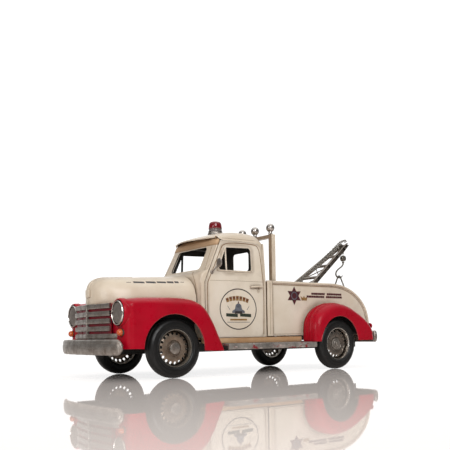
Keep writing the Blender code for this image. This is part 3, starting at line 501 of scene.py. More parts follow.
def rings(name, loops, material, closed=False, smooth=40):
    """Solid lofted through equal rings; its ends are filled, or joined when it is closed."""
    size = len(loops[0])
    vertices = [point for loop in loops for point in loop]
    faces = []
    turns = len(loops) if closed else len(loops) - 1
    for i in range(turns):
        j = (i + 1) % len(loops)
        for k in range(size):
            n = (k + 1) % size
            faces.append((i * size + k, i * size + n, j * size + n, j * size + k))
    if not closed:
        faces.append(tuple(range(size)))
        faces.append(tuple(range((len(loops) - 1) * size, len(loops) * size)))
    return solid(name, vertices, faces, material, smooth)


def prism(name, outline, axis, low, high, material, bevel=0.0):
    """Outline extruded along x, y or z, its rims bevelled."""
    spot = {"x": lambda p, s: (s, p[0], p[1]), "y": lambda p, s: (p[0], s, p[1]),
            "z": lambda p, s: (p[0], p[1], s)}[axis]
    item = rings(name, [[spot(p, level) for p in outline] for level in sorted((low, high))], material)
    return rim(item, bevel) if bevel else item


def edge_modifier(item, width, segments, angle):
    bevel = item.modifiers.new("rim", "BEVEL")
    bevel.width = width * MM
    bevel.segments = segments
    bevel.limit_method = "ANGLE"
    bevel.angle_limit = math.radians(angle)


def rim(item, width, segments=3):
    """Round an object's edges."""
    edge_modifier(item, width, segments, 35)
    settle(item)
    item.data.shade_smooth()
    item.data.set_sharp_from_angle(angle=math.radians(50))
    return item


def lathe(name, profile, axis, centre, segments, material, smooth=35):
    """Solid turned around an axis from (radius, station) pairs; a profile that doesn't start on the
    axis closes on itself."""
    centre = Vector(centre)
    vertices = []
    rows = []
    for radius, level in profile:
        row = []
        for k in range(1 if radius == 0 else segments):
            angle = 2 * math.pi * k / segments
            u, v = radius * math.cos(angle), radius * math.sin(angle)
            row.append(len(vertices))
            vertices.append(centre + Vector({"x": (level, u, v), "y": (v, level, u),
                                             "z": (u, v, level)}[axis]))
        rows.append(row)
    pairs = list(zip(rows, rows[1:]))
    if profile[0][0] > 0:
        pairs.append((rows[-1], rows[0]))
    faces = []
    for first, second in pairs:
        for k in range(segments):
            n = (k + 1) % segments
            corners = [first[k % len(first)], first[n % len(first)],
                       second[n % len(second)], second[k % len(second)]]
            faces.append(tuple(dict.fromkeys(corners)))
    return solid(name, vertices, faces, material, smooth)


def turned(name, profile, centre, side, segments, material, smooth=35):
    """Solid turned around a crosswise axis, its levels running outward from the truck's middle."""
    return lathe(name, [(r, s * side) for r, s in profile], "y", centre, segments, material, smooth)


def tube(name, path, radius, material, sides=10, across=None, closed=False, squash=1.0):
    """Round bar along a path; the radius may be a list with one value for each point."""
    path = [Vector(p) for p in path]
    count = len(path)
    loops = []
    side = Vector(across) if across else None
    for i, point in enumerate(path):
        if closed:
            ahead = path[(i + 1) % count] - path[i - 1]
        else:
            ahead = path[min(i + 1, count - 1)] - path[max(i - 1, 0)]
        ahead.normalize()
        if side is None:
            side = ahead.orthogonal()
        level = (side - ahead * side.dot(ahead)).normalized()
        up = ahead.cross(level)
        if not across:
            side = level
        r = radius[i] if isinstance(radius, list) else radius
        loops.append([point + level * a * r + up * b * r * squash for a, b in circle(1.0, sides)])
    return rings(name, loops, material, closed)


def sweep(name, path, section, material, across=None):
    """Section of (across, up) pairs carried along a path."""
    path = [Vector(p) for p in path]
    loops = []
    for i, point in enumerate(path):
        ahead = (path[min(i + 1, len(path) - 1)] - path[max(i - 1, 0)]).normalized()
        side = Vector(across) if across else Vector((0, 0, 1)).cross(ahead)
        side = (side - ahead * side.dot(ahead)).normalized()
        up = ahead.cross(side)
        loops.append([point + side * a + up * b for a, b in section])
    return rings(name, loops, material)


def settle(item):
    """Apply the object's modifiers."""
    view = bpy.context.evaluated_depsgraph_get()
    mesh = bpy.data.meshes.new_from_object(item.evaluated_get(view))
    old = item.data
    item.modifiers.clear()
    item.data = mesh
    mesh.name = item.name
    bpy.data.meshes.remove(old)


def sheet(name, rows, core, outside, inside, thickness=1.2, cap_last=False, smooth=40):
    """Pressed sheet through rows of stations, thickened towards the core, its inside in its own colour,
    which on these sheets is a dark painted shade.
    """
    size = len(rows[0])
    vertices = [point for row in rows for point in row]
    faces = []
    for i in range(len(rows) - 1):
        for k in range(size - 1):
            a = i * size + k
            faces.append((a, a + 1, a + size + 1, a + size))
    if cap_last:
        faces.append(tuple(range((len(rows) - 1) * size, len(rows) * size)))
    item = solid(name, vertices, faces, outside, smooth)
    item.data.materials.append(inside)
    middle = at(*core)
    if sum((f.center - middle).dot(f.normal) * f.area for f in item.data.polygons) < 0:
        item.data.flip_normals()
    shell = item.modifiers.new("sheet", "SOLIDIFY")
    shell.thickness = thickness * MM
    shell.offset = -1.0
    shell.use_even_offset = True
    shell.material_offset = 1
    settle(item)
    return item


def cut(item, *cutters):
    """Take the cutters away from an object; the new faces keep each cutter's material."""
    for cutter in cutters:
        step = item.modifiers.new("cut", "BOOLEAN")
        step.operation = "DIFFERENCE"
        step.object = cutter
        step.material_mode = "TRANSFER"
        settle(item)
        bpy.data.objects.remove(cutter, do_unlink=True)
    item.data.set_sharp_from_angle(angle=math.radians(38))
    return item


def merge(name, parts):
    """Parts gathered into one object, each with its own material."""
    bm = bmesh.new()
    materials = []
    for part in parts:
        before = len(bm.faces)
        bm.from_mesh(part.data)
        bm.faces.ensure_lookup_table()
        slots = list(part.data.materials)
        for face in bm.faces[before:]:
            material = slots[min(face.material_index, len(slots) - 1)]
            if material not in materials:
                materials.append(material)
            face.material_index = materials.index(material)
        bpy.data.objects.remove(part, do_unlink=True)
    mesh = bpy.data.meshes.new(name)
    bm.to_mesh(mesh)
    bm.free()
    for material in materials:
        mesh.materials.append(material)
    item = bpy.data.objects.new(name, mesh)
    bpy.context.scene.collection.objects.link(item)
    mesh.set_sharp_from_angle(angle=math.radians(40))
    return item


def engrave(item, paths, radius=0.42, material=None):
    """Cut grooves along paths; the wash stays in them."""
    cutters = []
    for path in paths:
        whole = (Vector(path[0]) - Vector(path[-1])).length < 0.001
        cutters.append(tube("groove", path[:-1] if whole else path, radius, material or WASH, 6,
                            closed=whole))
    return cut(item, *cutters)


def onto(item, points, direction, lift=0.0):
    """Stations carried along a direction to where they meet an object's surface."""
    tree = BVHTree.FromPolygons([v.co for v in item.data.vertices], [p.vertices for p in item.data.polygons])
    way = Vector(direction).normalized()
    met = []
    for point in points:
        hit = tree.ray_cast(at(*point) - way * 0.2, way)[0]
        if hit is not None:
            met.append(station(hit - way * lift * MM))
    return met


def onto_sheet(name, item, edges, direction, material):
    """Thin printed patch between two edges, laid on an object's surface."""
    (a0, a1), (b0, b1) = [(Vector(p), Vector(q)) for p, q in edges]
    steps, lift = 8, 0.07
    count = steps + 1
    points = []
    for across in (0.0, 0.5, 1.0):
        start, end = a0.lerp(b0, across), a1.lerp(b1, across)
        points += onto(item, [start.lerp(end, k / steps) for k in range(count)], direction, lift)
    if len(points) < 3 * count:
        raise ValueError("the patch misses the surface: " + name)
    faces = [(row + k, row + k + 1, row + count + k + 1, row + count + k)
             for row in (0, count) for k in range(steps)]
    patch = solid(name, points, faces, material)
    skin = patch.modifiers.new("skin", "SOLIDIFY")
    skin.thickness = 0.06 * MM
    settle(patch)
    return patch


def place(item, slot, *nodes, body="truck"):
    """The piece rides on a body and stands for CAD nodes, which are hidden; the slot is not used."""
    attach(item, body)
    if nodes:
        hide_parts(*nodes)
    return item


def repaint(node, material, width=0.0):
    """New finish, and softened edges, for a CAD node that stays."""
    item = frame["nodes"][node]
    item.data.materials.clear()
    item.data.materials.append(material)
    if width:
        edge_modifier(item, width, 2, 40)


# ------------------------------------------------------------------ wheels

def make_wheel(name, x, track, side):
    """Tyre, pierced disc with its barrel and hub cap; the levels run outward from the wheel's middle."""
    centre = (x, track * side, AXLE_Z)
    wall = [(20.7, 6.3), (21.2, 7.1), (22.2, 7.6), (22.7, 7.3), (23.2, 7.3), (23.7, 7.9), (25.0, 8.0),
            (26.6, 7.95), (27.9, 7.7), (28.2, 7.3), (28.5, 7.55), (29.8, 6.9), (30.9, 6.1), (31.7, 5.1),
            (32.15, 4.1), (32.4, 2.9), (32.42, 2.3), (32.1, 2.1), (32.1, 1.8), (32.46, 1.6), (32.5, 0.0)]
    profile = wall + [(r, -s) for r, s in reversed(wall[:-1])]
    tyre = turned("rubber_" + name, profile, centre, side, 112, TYRE, 32)
    place(tyre, "tyre_rubber", "tyre_" + name, body="wheel_" + name)

    rear = x < WHEELBASE / 2
    disc = [(0, 2.6), (7.4, 2.6), (7.9, 1.7), (8.6, 1.6), (9.2, 2.3), (12.0, 2.75), (14.8, 2.5), (17.3, 1.7),
            (18.1, 0.9), (18.9, 0.4), (18.9, -0.5), (17.6, -0.1), (14.8, 1.5), (12.0, 1.7), (8.6, 0.7),
            (0, 0.7)]
    plate = turned("plate", disc, centre, side, 108, RIM_PEWTER if rear else BRONZE)
    holes = []
    for k in range(18):
        angle = 2 * math.pi * (k + 0.25) / 18
        spot = Vector(centre) + Vector((16.1 * math.sin(angle), 0, 16.1 * math.cos(angle)))
        holes.append(tube("hole", [spot - Vector((0, 3, 0)), spot + Vector((0, 5, 0))], 1.65, BRIGHT, 14,
                          across=(1, 0, 0)))
    cut(plate, merge("holes", holes))
    drum = [(18.9, -6.2), (20.3, -6.2), (20.6, -5.6), (20.6, 5.7), (20.9, 6.3), (20.5, 6.8), (19.9, 6.7),
            (19.6, 6.0), (19.0, 4.6), (18.9, 3.0)]
    barrel = turned("barrel", drum, centre, side, 96, BRIGHT if rear else STEEL)
    if rear:
        cap = [(0, 5.4), (2.2, 5.3), (2.6, 4.9), (2.7, 4.0), (4.4, 3.9), (4.8, 3.5), (4.9, 2.9), (6.6, 2.8),
               (6.9, 2.4), (0, 2.4)]
    else:
        cap = [(0, 6.2), (1.2, 6.15), (5.0, 5.9), (6.1, 5.5), (6.5, 4.8), (6.5, 2.4), (0, 2.4)]
    hub = turned("hub", cap, centre, side, 56, PEWTER)
    boss = turned("boss", [(2.5, -5.0), (4.6, -5.0), (4.6, 0.9), (2.5, 0.9)], centre, side, 40, BLACK)
    rim_piece = merge("wheel_disc_" + name, [plate, barrel, hub, boss])
    place(rim_piece, "bronze_rim", "rim_" + name, body="wheel_" + name)


# ------------------------------------------------------------------ front end

def hood_half(x):
    """Half width of the hood at a station; it closes in over the last 44 mm."""
    width = 34.5 + 12.5 * (HOOD_NOSE - x) / (HOOD_NOSE - HOOD_REAR)
    near = min(1.0, max(0.0, (HOOD_NOSE - x) / 44.0))
    return max(3.2, width * (1 - (1 - near) ** 2.15) ** (1 / 2.15))


def hood_top(x):
    """Height of the hood's crown; it rounds down to the nose."""
    crown = 116.9 - 6.2 * (x - HOOD_REAR) / (HOOD_NOSE - HOOD_REAR)
    near = min(1.0, max(0.0, (HOOD_NOSE - x) / 17.0))
    return 97.0 + (crown - 97.0) * (1 - (1 - near) ** 2.2) ** (1 / 2.2)


def make_hood():
    section = superellipse(3.0, 61)
    rows = []
    for k in range(57):
        t = k / 56
        x = HOOD_NOSE - (HOOD_NOSE - HOOD_REAR) * (1 - t) ** 2.1
        base = 76.0 + 6.0 / (1 + math.exp(-(x - 302.0) / 2.5))
        rows.append([(x, hood_half(x) * p.x, base + (hood_top(x) - base) * p.y) for p in section])
    hood = sheet("hood_skin", rows, (250, 0, 90), IVORY_HOOD, INNER_SHADE, 1.3, cap_last=True, smooth=50)
    seam = [(HOOD_NOSE + 0.25, 0, z) for z in (81.0, 84, 87, 90.5)]
    engrave(hood, [seam], 0.4)
    place(hood, "body_ivory", "hood")

    crest = []
    for k in range(34):
        x = 262.0 + (HOOD_NOSE - 0.1 - 262.0) * (1 - (1 - k / 33) ** 2)
        crest.append((x, 0, hood_top(x) + 0.1))
    crest.append((HOOD_NOSE + 0.1, 0, 97.0))
    strip = rounded([(-3.4, -0.9, 0.3), (3.4, -0.9, 0.3), (3.4, 0.8, 0.7), (-3.4, 0.8, 0.7)], 3)
    rib = sweep("hood_rib", crest, strip, IVORY, across=(0, 1, 0))
    place(rib, "body_ivory")
    clip = prism("hood_clip", block(-4.8, 89.6, 4.8, 98.2, 0.8),
                 "x", HOOD_NOSE - 1.0, HOOD_NOSE + 1.3, IVORY, 0.4)
    place(clip, "body_ivory")
    for side, word in SIDES:
        # a plain dashed line along the hood's side
        dashes = []
        first = start = 282.6
        for gap, length, height in ((0, 5.0, 0.6), (2.7, 13.0, 1.9), (2.0, 11.6, 2.1), (1.5, 11.0, 1.9),
                                    (1.5, 7.8, 2.2), (1.5, 5.1, 2.1), (2.4, 4.4, 0.6)):
            start -= gap
            level = 105.7 + 0.028 * (first - start)
            rims = (level - height / 2, level + height / 2)
            edges = [((start, 0, z), (start - length, 0, z)) for z in rims]
            dashes.append(onto_sheet("dash", hood, edges, (0, -side, 0), INK))
            start -= length
        place(merge("hood_line_" + word, dashes), "body_ivory")


def grille_x(y, bulge):
    """Station of the grille's face, which is bowed forward in the middle."""
    return 309.3 + bulge + (1 - abs(y) / 45.0) * 5.2


def make_grille():
    repaint("grille_panel", DARK_RED)
    parts = []
    section = rounded([(-1.4, -2.7, 1.1), (1.6, -2.7, 1.5), (1.6, 2.7, 1.5), (-1.4, 2.7, 1.1)], 5)
    for i in range(5):
        z = 46.6 + 8.1 * i
        reach = 53.0 if i == 0 else 44.4
        stations = [reach * (2 * k / 30 - 1) for k in range(31)]
        path = [(grille_x(y, 1.8) - 0.02 * max(0, abs(y) - 38) ** 2, y, z) for y in stations]
        parts.append(sweep("bar", path, section, PEWTER))
    for y, half, bulge, metal_paint in ((0, 1.1, 2.4, PEWTER), (24, 1.3, -0.6, DARK_RED),
                                        (-24, 1.3, -0.6, DARK_RED)):
        x = grille_x(y, bulge)
        outline = rounded([(x - 1.6, y - half, 0.4), (x + 1.0, y - half, 0.7), (x + 1.0, y + half, 0.7),
                           (x - 1.6, y + half, 0.4)], 3)
        parts.append(prism("rib", outline, "z", 46.0, 79.5, metal_paint))
    place(merge("grille_grid", parts), "worn_pewter", "grille_bars")


def make_bumper(name, half, z, height, node, blunt=20, step=9):
    """Pressed bumper bar with a rolled face; its ends start blunt and grow by the step of angle."""
    half = smooth_path(half, 6)
    points = [Vector((p.x, -p.y, z)) for p in reversed(half)] + [Vector((p.x, p.y, z)) for p in half[1:]]
    face = [(2.4, -0.62), (2.3, -0.80), (1.7, -0.94), (0.7, -1.0), (-0.4, -0.97), (-1.35, -0.86),
            (-2.0, -0.68), (-2.4, -0.46), (-2.58, -0.22), (-2.6, 0.0), (-2.54, 0.20), (-2.36, 0.34),
            (-2.05, 0.42), (-2.14, 0.50), (-1.98, 0.66), (-1.5, 0.82), (-0.6, 0.95), (0.5, 1.0), (1.6, 0.95),
            (2.3, 0.80), (2.4, 0.62), (1.4, 0.5), (1.2, 0.0), (1.4, -0.5)]
    total = len(points)
    loops = []
    for i, point in enumerate(points):
        ahead = (points[min(i + 1, total - 1)] - points[max(i - 1, 0)]).normalized()
        side = Vector((0, 0, 1)).cross(ahead).normalized()
        near = min(i, total - 1 - i)
        taper = math.sin(math.radians(min(90, blunt + near * step)))
        depth = math.copysign(0.55 + 0.45 * taper, half[0].x)
        loops.append([point + side * a * depth + Vector((0, 0, b * height * taper)) for a, b in face])
    bar = rings(name, loops, PEWTER, smooth=60)
    place(bar, "worn_pewter", node)


def make_lamps():
    for word in ("left", "right"):
        centre = axis_of("headlight_" + word)
        ring = lathe("bezel", [(11.6, 303), (12.9, 303), (13.0, 308.2), (12.9, 309.2), (12.5, 309.8),
                               (12.0, 309.9), (11.7, 309.4), (11.6, 308.6)], "x", centre, 80, BRIGHT)
        glass = lathe("glass", [(0, 309.7), (3, 309.65), (6, 309.5), (9, 309.2), (11.0, 308.8),
                                (11.45, 308.3), (11.45, 300), (0, 300)], "x", centre, 80, LAMP)
        place(merge("head_lamp_" + word, [ring, glass]), "worn_pewter", "headlight_" + word)
        low, high = span("turn_signal_" + word)
        centre = axis_of("turn_signal_" + word)
        tip, wide = high.x, (high.z - low.z) / 2
        dome = [(0, tip), (0.35, tip - 0.1), (0.62, tip - 0.6), (0.8, tip - 1.4), (0.9, tip - 2.4),
                (0.93, tip - 5.0), (0.93, 303), (0, 303)]
        bulb = lathe("dome", [(r * wide, x) for r, x in dome], "x", centre, 40, AMBER)
        seat = lathe("seat", [(0.8 * wide, 303), (wide, 303), (wide, 307.4), (0.97 * wide, 307.7),
                              (0.9 * wide, 307.6)], "x", centre, 40, BLACK)
        place(merge("signal_" + word, [bulb, seat]), "amber_lens", "turn_signal_" + word)
        centre = axis_of("tail_light_" + word)
        lens = [(0, -75.4), (1.4, -75.25), (2.8, -74.7), (3.5, -73.7), (3.6, -71), (0, -71)]
        tail = lathe("lens", lens, "x", centre, 40, LENS_TAIL)
        cup = [(3.1, -70.4), (4.0, -70.4), (4.0, -73.0), (3.7, -73.6), (3.3, -73.2)]
        seat = lathe("seat", cup, "x", centre, 40, RED)
        place(merge("tail_lamp_" + word, [tail, seat]), "red_lens", "tail_light_" + word)


# ------------------------------------------------------------------ fenders

def make_fender(name, side, outline, levels, inner, arch):
    """Pressed fender: the side outline (x, z) carried outward through levels of (y, inset, drop)."""
    low = min(p.y for p in outline)
    high = max(p.y for p in outline)
    rows = []
    for y, inset, drop in levels:
        row = []
        for i, point in enumerate(outline):
            inward = Vector((arch[0], point.y if i in (0, len(outline) - 1) else 45.0)) - point
            given = inset(i / (len(outline) - 1)) if callable(inset) else inset
            x, z = point + inward.normalized() * given
            z -= drop * (z - low) / (high - low)
            row.append((x, side * inner(x, y), z))
        rows.append(row)
    mid = 0.5 * (outline[0].x + outline[-1].x)
    # the fender's inside is black: painted shade in the wheel well
    fender = sheet(name, rows, (mid, side * 60, 30), RED, BLACK, 1.2, cap_last=True, smooth=60)
    ax, az, a, b = arch
    opening = [(ax + a * math.cos(math.pi * k / 48), az + b * math.sin(math.pi * k / 48)) for k in range(49)]
    opening += [(ax - a, low - 6), (ax + a, low - 6)]
    cut(fender, prism("arch", opening, "y", side * 62, side * 95, RED))
    return fender


def arch_lip(name, arch, side, y, low):
    """Rolled edge around a wheel opening."""
    ax, az, a, b = arch
    curve = [(ax + (a + 0.2) * math.cos(math.pi * k / 96), az + (b + 0.2) * math.sin(math.pi * k / 96))
             for k in range(97)]
    path = [(x, side * y, z) for x, z in curve if z >= low]
    return tube(name, path, 0.62, WORN_RED, 8, across=(0, 1, 0))


def make_fenders():
    half_front = span("fender_front_left")[1].y
    half_rear = span("fender_rear_left")[1].y
    front = smooth_path([(300.0, 85.6), (282, 87.0), (245, 87.6), (222, 85.6), (206.5, 78.0),
                         (195.0, 62.0), (186.8, 45.0), (179.2, 28.4)], 8)
    nose = [(307.0, 33.0 + 4.65 * k) for k in range(10)]
    corner = arc((302.0, 79.9), 5.0, 0, 78, 8)
    front = [Vector(p) for p in nose + corner + [tuple(p) for p in front[1:]]]

    def front_inner(x, y):
        shell = hood_half(x) + 0.6
        cab = BODY_HALF + 0.6
        blend = min(1.0, max(0.0, (214.0 - x) / 11.0))
        edge = shell + (cab - shell) * blend
        return edge + (y - 50.0) / 8.0 * (58.0 - edge) if y < 58 else y

    front_levels = [(50, 0, 8.5), (51.5, 0, 5.2), (53, 0, 3.0), (55.5, 0, 1.0), (58, 0, 0), (61, 0.05, 0)]
    front_levels += [(61.0 + (half_front - 61.0) * math.sin(math.pi * k / 20),
                      10.0 * (1 - math.cos(math.pi * k / 20)), 0)
                     for k in range(1, 11)]
    rear = [Vector(p) for p in smooth_path([(42.0, 36.0), (41.5, 56), (37, 68.5), (27, 78), (10, 84.6),
                                            (-8, 84.8), (-25, 80.4), (-43, 71.4), (-58, 61), (-67, 50),
                                            (-69.5, 36.6)], 9)]

    def flute(depth):
        """Ridge that stands out on the fender's front and dies away over its top."""
        return lambda t: -depth * max(0.0, min(1.0, (0.62 - t) / 0.25)) * min(1.0, t / 0.06)

    rear_levels = [(BODY_HALF + 1.6, 0, 0), (55.0, 0, 0), (56.4, flute(0.1), 0), (57.4, flute(0.8), 0),
                   (58.4, flute(0.8), 0), (59.4, flute(0.0), 0), (63.0, 0.1, 0), (64.0, flute(0.7), 0),
                   (65.0, flute(0.7), 0), (66.0, 0.2, 0), (66.8, 0.3, 0)]
    rear_levels += [(66.8 + (half_rear - 66.8) * math.sin(math.pi * k / 20),
                     0.3 + 11.2 * (1 - math.cos(math.pi * k / 20)), 0) for k in range(1, 11)]
    for side, word in SIDES:
        arch = (WHEELBASE + 3.0, 32.0, 38.0, 37.6)
        fender = make_fender("front_wing_" + word, side, front, front_levels, front_inner, arch)
        lamp_axis = axis_of("headlight_" + word)
        cut(fender, lathe("hole", [(0, 290), (13.6, 290), (13.6, 312), (0, 312)], "x", lamp_axis, 64, INNER_SHADE))
        low, high = span("turn_signal_" + word)
        bore = (high.z - low.z) / 2 + 0.25
        cut(fender, lathe("hole", [(0, 300), (bore, 300), (bore, 312), (0, 312)], "x",
                          axis_of("turn_signal_" + word), 32, INNER_SHADE))
        lip = arch_lip("lip", arch, side, half_front - 0.7, 34.0)
        collar = lathe("collar", [(13.6, 302), (15.6, 302), (15.4, 306.4), (14.9, 307.9), (14.2, 308.4),
                                  (13.6, 308.0)], "x", lamp_axis, 80, RED)
        place(merge("front_wing_" + word, [fender, lip, collar]), "body_red", "fender_front_" + word)
        # thin black plate inside the wheel well: painted shade
        shade_plate = [(303, 38), (303, 76.5), (245, 78.5), (222, 75.5), (209, 69), (209, 38)]
        place(prism("front_well_" + word, shade_plate, "y", side * 51.7, side * 52.1, BLACK), "frame_black")
        arch = (0.0, 32.0, 34.2, 36.6)
        fender = make_fender("rear_wing_" + word, side, rear, rear_levels, lambda x, y: y, arch)
        lip = arch_lip("lip", arch, side, half_rear - 0.7, 37.4)
        place(merge("rear_wing_" + word, [fender, lip]), "body_red", "fender_rear_" + word)
        # thin black plate inside the wheel well: painted shade
        shade_plate = [(39.6, 44.5), (39.0, 56), (34.8, 66.4), (25.6, 75.6), (9.6, 82.2), (-7.6, 82.4),
                (-23.8, 78.2), (-41.2, 69.4), (-55.4, 59.6), (-63.6, 50), (-66.0, 44.5)]
        place(prism("rear_well_" + word, shade_plate, "y", side * 52.3, side * 52.7, BLACK), "frame_black")


# ------------------------------------------------------------------ cab

def cab_half(z):
    """Half width of the cab at a height."""
    return BODY_HALF - TUMBLEHOME * max(0.0, z - BELT_Z)


def windshield_x(z):
    """Station of the raked windshield at a height."""
    return 189.5 - 17.0 * (z - 122.0) / 36.0


def wrap(side_x, front_x, half, section, edge, rise=0.0):
    """Row of points around the cab's front or back, from the left side to the right."""
    return [(side_x + (front_x - side_x) * p.y, half * p.x, edge + rise * (1 - abs(p.x) ** 4))
            for p in section]


def make_cowl():
    section = superellipse(5.0, 61)
    low = span("cab_cowl")[0].z
    levels = [(low, 202.4), (60, 202.4), (80, 202.4), (100, 202.4), (BELT_Z, 202.4), (111, 202.3),
              (114, 202.0), (116.4, 201.3), (118.2, 200.0), (119.6, 198.0), (120.5, 195.6), (121.1, 193.4),
              (121.6, 191.4), (122.4, windshield_x(122.4))]
    levels += [(z, windshield_x(z)) for z in (124, 128, 134, 140, 146, 150, 153)]
    rows = []
    for z, x in levels:
        pillar = 193.55 - PILLAR_LEAN * max(0.0, z - BELT_Z)
        rows.append(wrap(pillar, x, cab_half(z) - 0.6, section, z))
    rows.append(wrap(168.55, windshield_x(EAVES_Z + 3), cab_half(EAVES_Z) - 0.6, section, EAVES_Z, 6.0))
    cowl = sheet("cowl", rows, (150, 0, 90), IVORY_COWL, INNER_SHADE, 1.4, smooth=45)
    opening = rounded([(-32.5, 124.0, 4.5), (32.5, 124.0, 4.5), (32.0, 151.0, 4.5), (-32.0, 151.0, 4.5)])
    cut(cowl, prism("opening", opening, "x", 150, 215, INNER_SHADE))
    trim = []
    for y, z in rounded([(-33.3, 123.2, 5), (33.3, 123.2, 5), (32.8, 151.8, 5), (-32.8, 151.8, 5)], 10):
        trim.append((windshield_x(z) + 0.1 - 0.00006 * abs(y) ** 3, y, z))
    frame_trim = tube("windshield_trim", trim, 0.75, IVORY, 8, closed=True)
    for side in (1, -1):
        crease = [(201.0, side * 26, 121), (200.5, side * 33, 119.5), (199.5, side * 39, 114),
                  (199, side * 43, 105), (199, side * 44.5, 92)]
        met = onto(cowl, [(230, y, z) for x, y, z in smooth_path(crease, 6)], (-1, 0, 0))
        engrave(cowl, [met], 0.4)
        pillar = smooth_path([(0, side * 44.6, 121.0), (0, side * 43.2, 130), (0, side * 41.8, 140),
                              (0, side * 40.6, 150), (0, side * 39.6, 157.0)], 5)
        engrave(cowl, [onto(cowl, [(230, p.y, p.z) for p in pillar], (-1, 0, 0))], 0.4)
    place(merge("cowl_skin", [cowl, frame_trim]), "body_ivory", "cab_cowl")
    # thin band under the visor in the darkened ivory: painted shade
    rows = [wrap(172.8 - PILLAR_LEAN * (z - 150), windshield_x(z) + 0.35, cab_half(z) - tuck, section, z,
                 rise)
            for z, tuck, rise in ((152.6, 0.3, 0.0), (157.6, 0.3, 4.6), (160.8, 1.8, 4.4))]
    header = sheet("header_band", rows, (150, 0, 150), VISOR_SHADE, INNER_SHADE, 0.4)
    place(header, "body_ivory")


def ground(side, points):
    """Stations on the cab side's outer face for (x, z) points."""
    return [(x, side * cab_half(z), z) for x, z in points]


def make_cab_sides():
    low, high = span("cab_side_left")
    rear, front, bottom = low.x, high.x, low.z
    door = smooth_path([(107.0, 46.5), (106.2, 70), (106.2, 100), (107.6, 125), (109.6, 146), (112.6, 153.2),
                        (118, 155.6), (135, 156.2), (152, 155.6), (162, 153.6), (167.4, 149), (176, 132.5),
                        (186.6, 112.6), (189.4, 106), (190.0, 90), (189.6, 60), (189.4, 46.5)], 4)
    for side, word in SIDES:
        outline = [(rear, bottom), (front, bottom), (front, BELT_Z),
                   (front - PILLAR_LEAN * (EAVES_Z - BELT_Z), EAVES_Z)]
        outline += arc((rear + 9.0, EAVES_Z - 9.0), 9.0, 90, 180, 8)
        loops = [[(x, side * (BODY_HALF - depth), z) for x, z in outline] for depth in (1.8, 0.0)]
        panel = rings("side", loops, LIT_IVORY_CAB)
        bm = bmesh.new()
        bm.from_mesh(panel.data)
        for level in (BELT_Z - 1.0, BELT_Z, BELT_Z + 1.0):
            bmesh.ops.bisect_plane(bm, geom=bm.verts[:] + bm.edges[:] + bm.faces[:], dist=1e-7,
                                   plane_co=(0, 0, level * MM), plane_no=(0, 0, 1))
        for vertex in bm.verts:
            vertex.co.y -= side * TUMBLEHOME * max(0.0, vertex.co.z - BELT_Z * MM)
        bm.to_mesh(panel.data)
        bm.free()
        vent = rounded([(162.6, 123, 0.8), (173.5, 123, 2.5), (162.6, 147.5, 0.8)], 5)
        pane = rounded([(124, 123, 4), (160.4, 123, 0.8), (160.4, 150, 0.8), (124, 151, 4)])
        cut(panel, prism("vent", vent, "y", side * 40, side * 60, INNER_SHADE),
            prism("pane", pane, "y", side * 40, side * 60, INNER_SHADE))
        belt = [(107.5, 110.4), (130, 110.4), (160, 110.2), (186.0, 109.8)]
        engrave(panel, [ground(side, door)], 0.55)
        engrave(panel, [ground(side, smooth_path(belt, 2))], 0.2)
        # painted shade: the panel's inward faces take the near-black inside
        for polygon in panel.data.polygons:
            if polygon.normal.y * side < -0.9:
                if INNER_SHADE.name not in panel.data.materials:
                    panel.data.materials.append(INNER_SHADE)
                polygon.material_index = panel.data.materials.find(INNER_SHADE.name)
        parts = [panel]
        sill = [(124.9, 124.5), (123.2, 122.6), (126, 121.9), (140, 121.8), (160, 121.9), (170, 122.0),
                (174.6, 122.6), (172.4, 127.5), (168, 137.0), (162.4, 149.5)]
        parts.append(tube("trim", [(x, side * (cab_half(z) + 0.35), z) for x, z in smooth_path(sill, 5)],
                          0.8, IVORY, 8, across=(0, 1, 0)))
        post = [(161.5, side * (cab_half(z) - 0.4), z) for z in (123, 136, 149.8)]
        parts.append(tube("post", post, 0.95, IVORY, 8, across=(0, 1, 0)))
        place(merge("side_skin_" + word, parts), "body_ivory", "cab_side_" + word)
        make_handle(side, word)
        make_sign(side, word)


def make_handle(side, word):
    y = BODY_HALF + 0.3
    path = smooth_path([(109.0, 104.0), (112, 104.4), (118, 104.2), (124, 103.8), (128.0, 103.4)], 5)
    count = len(path)
    radii = [1.0 + 0.75 * math.sin(math.pi * (k + 1.2) / (count + 2)) for k in range(count)]
    lever = tube("lever", [(p.x, side * (y + 1.9), p.y) for p in path], radii, IVORY, 12, across=(0, 1, 0),
                 squash=0.7)
    stem = turned("stem", [(0, 0.2), (1.5, 0.2), (1.3, 1.2), (1.2, 2.2), (0, 2.2)],
                  (113.2, side * (y - 0.2), 103.6), side, 20, IVORY)
    key = turned("key", [(0, 0.5), (1.0, 0.5), (1.7, 0.3), (1.9, -0.2), (0, -0.2)], (114.3, side * y, 98.8),
                 side, 24, IVORY)
    hole = prism("slot", block(113.9, 98.0, 114.7, 99.5, 0.2, 2),
                 "y", side * (y + 0.45), side * (y + 0.6), INK)
    place(merge("door_lever_" + word, [lever, stem, key, hole]), "body_ivory", "door_handle_" + word)


def plate(outline, side, material, y=BODY_HALF, lift=0.05):
    """Thin printed shape on a flat side face."""
    return prism("print", outline, "y", side * (y + lift), side * (y + lift + 0.07), material)


def band(centre, radius, width, start, end, side, material, y=BODY_HALF, lift=0.05):
    """Printed arc of a given width on a side face."""
    outer = arc(centre, radius + width / 2, start, end, 48)
    inner = arc(centre, radius - width / 2, end, start, 48)
    return plate(outer + inner, side, material, y, lift)


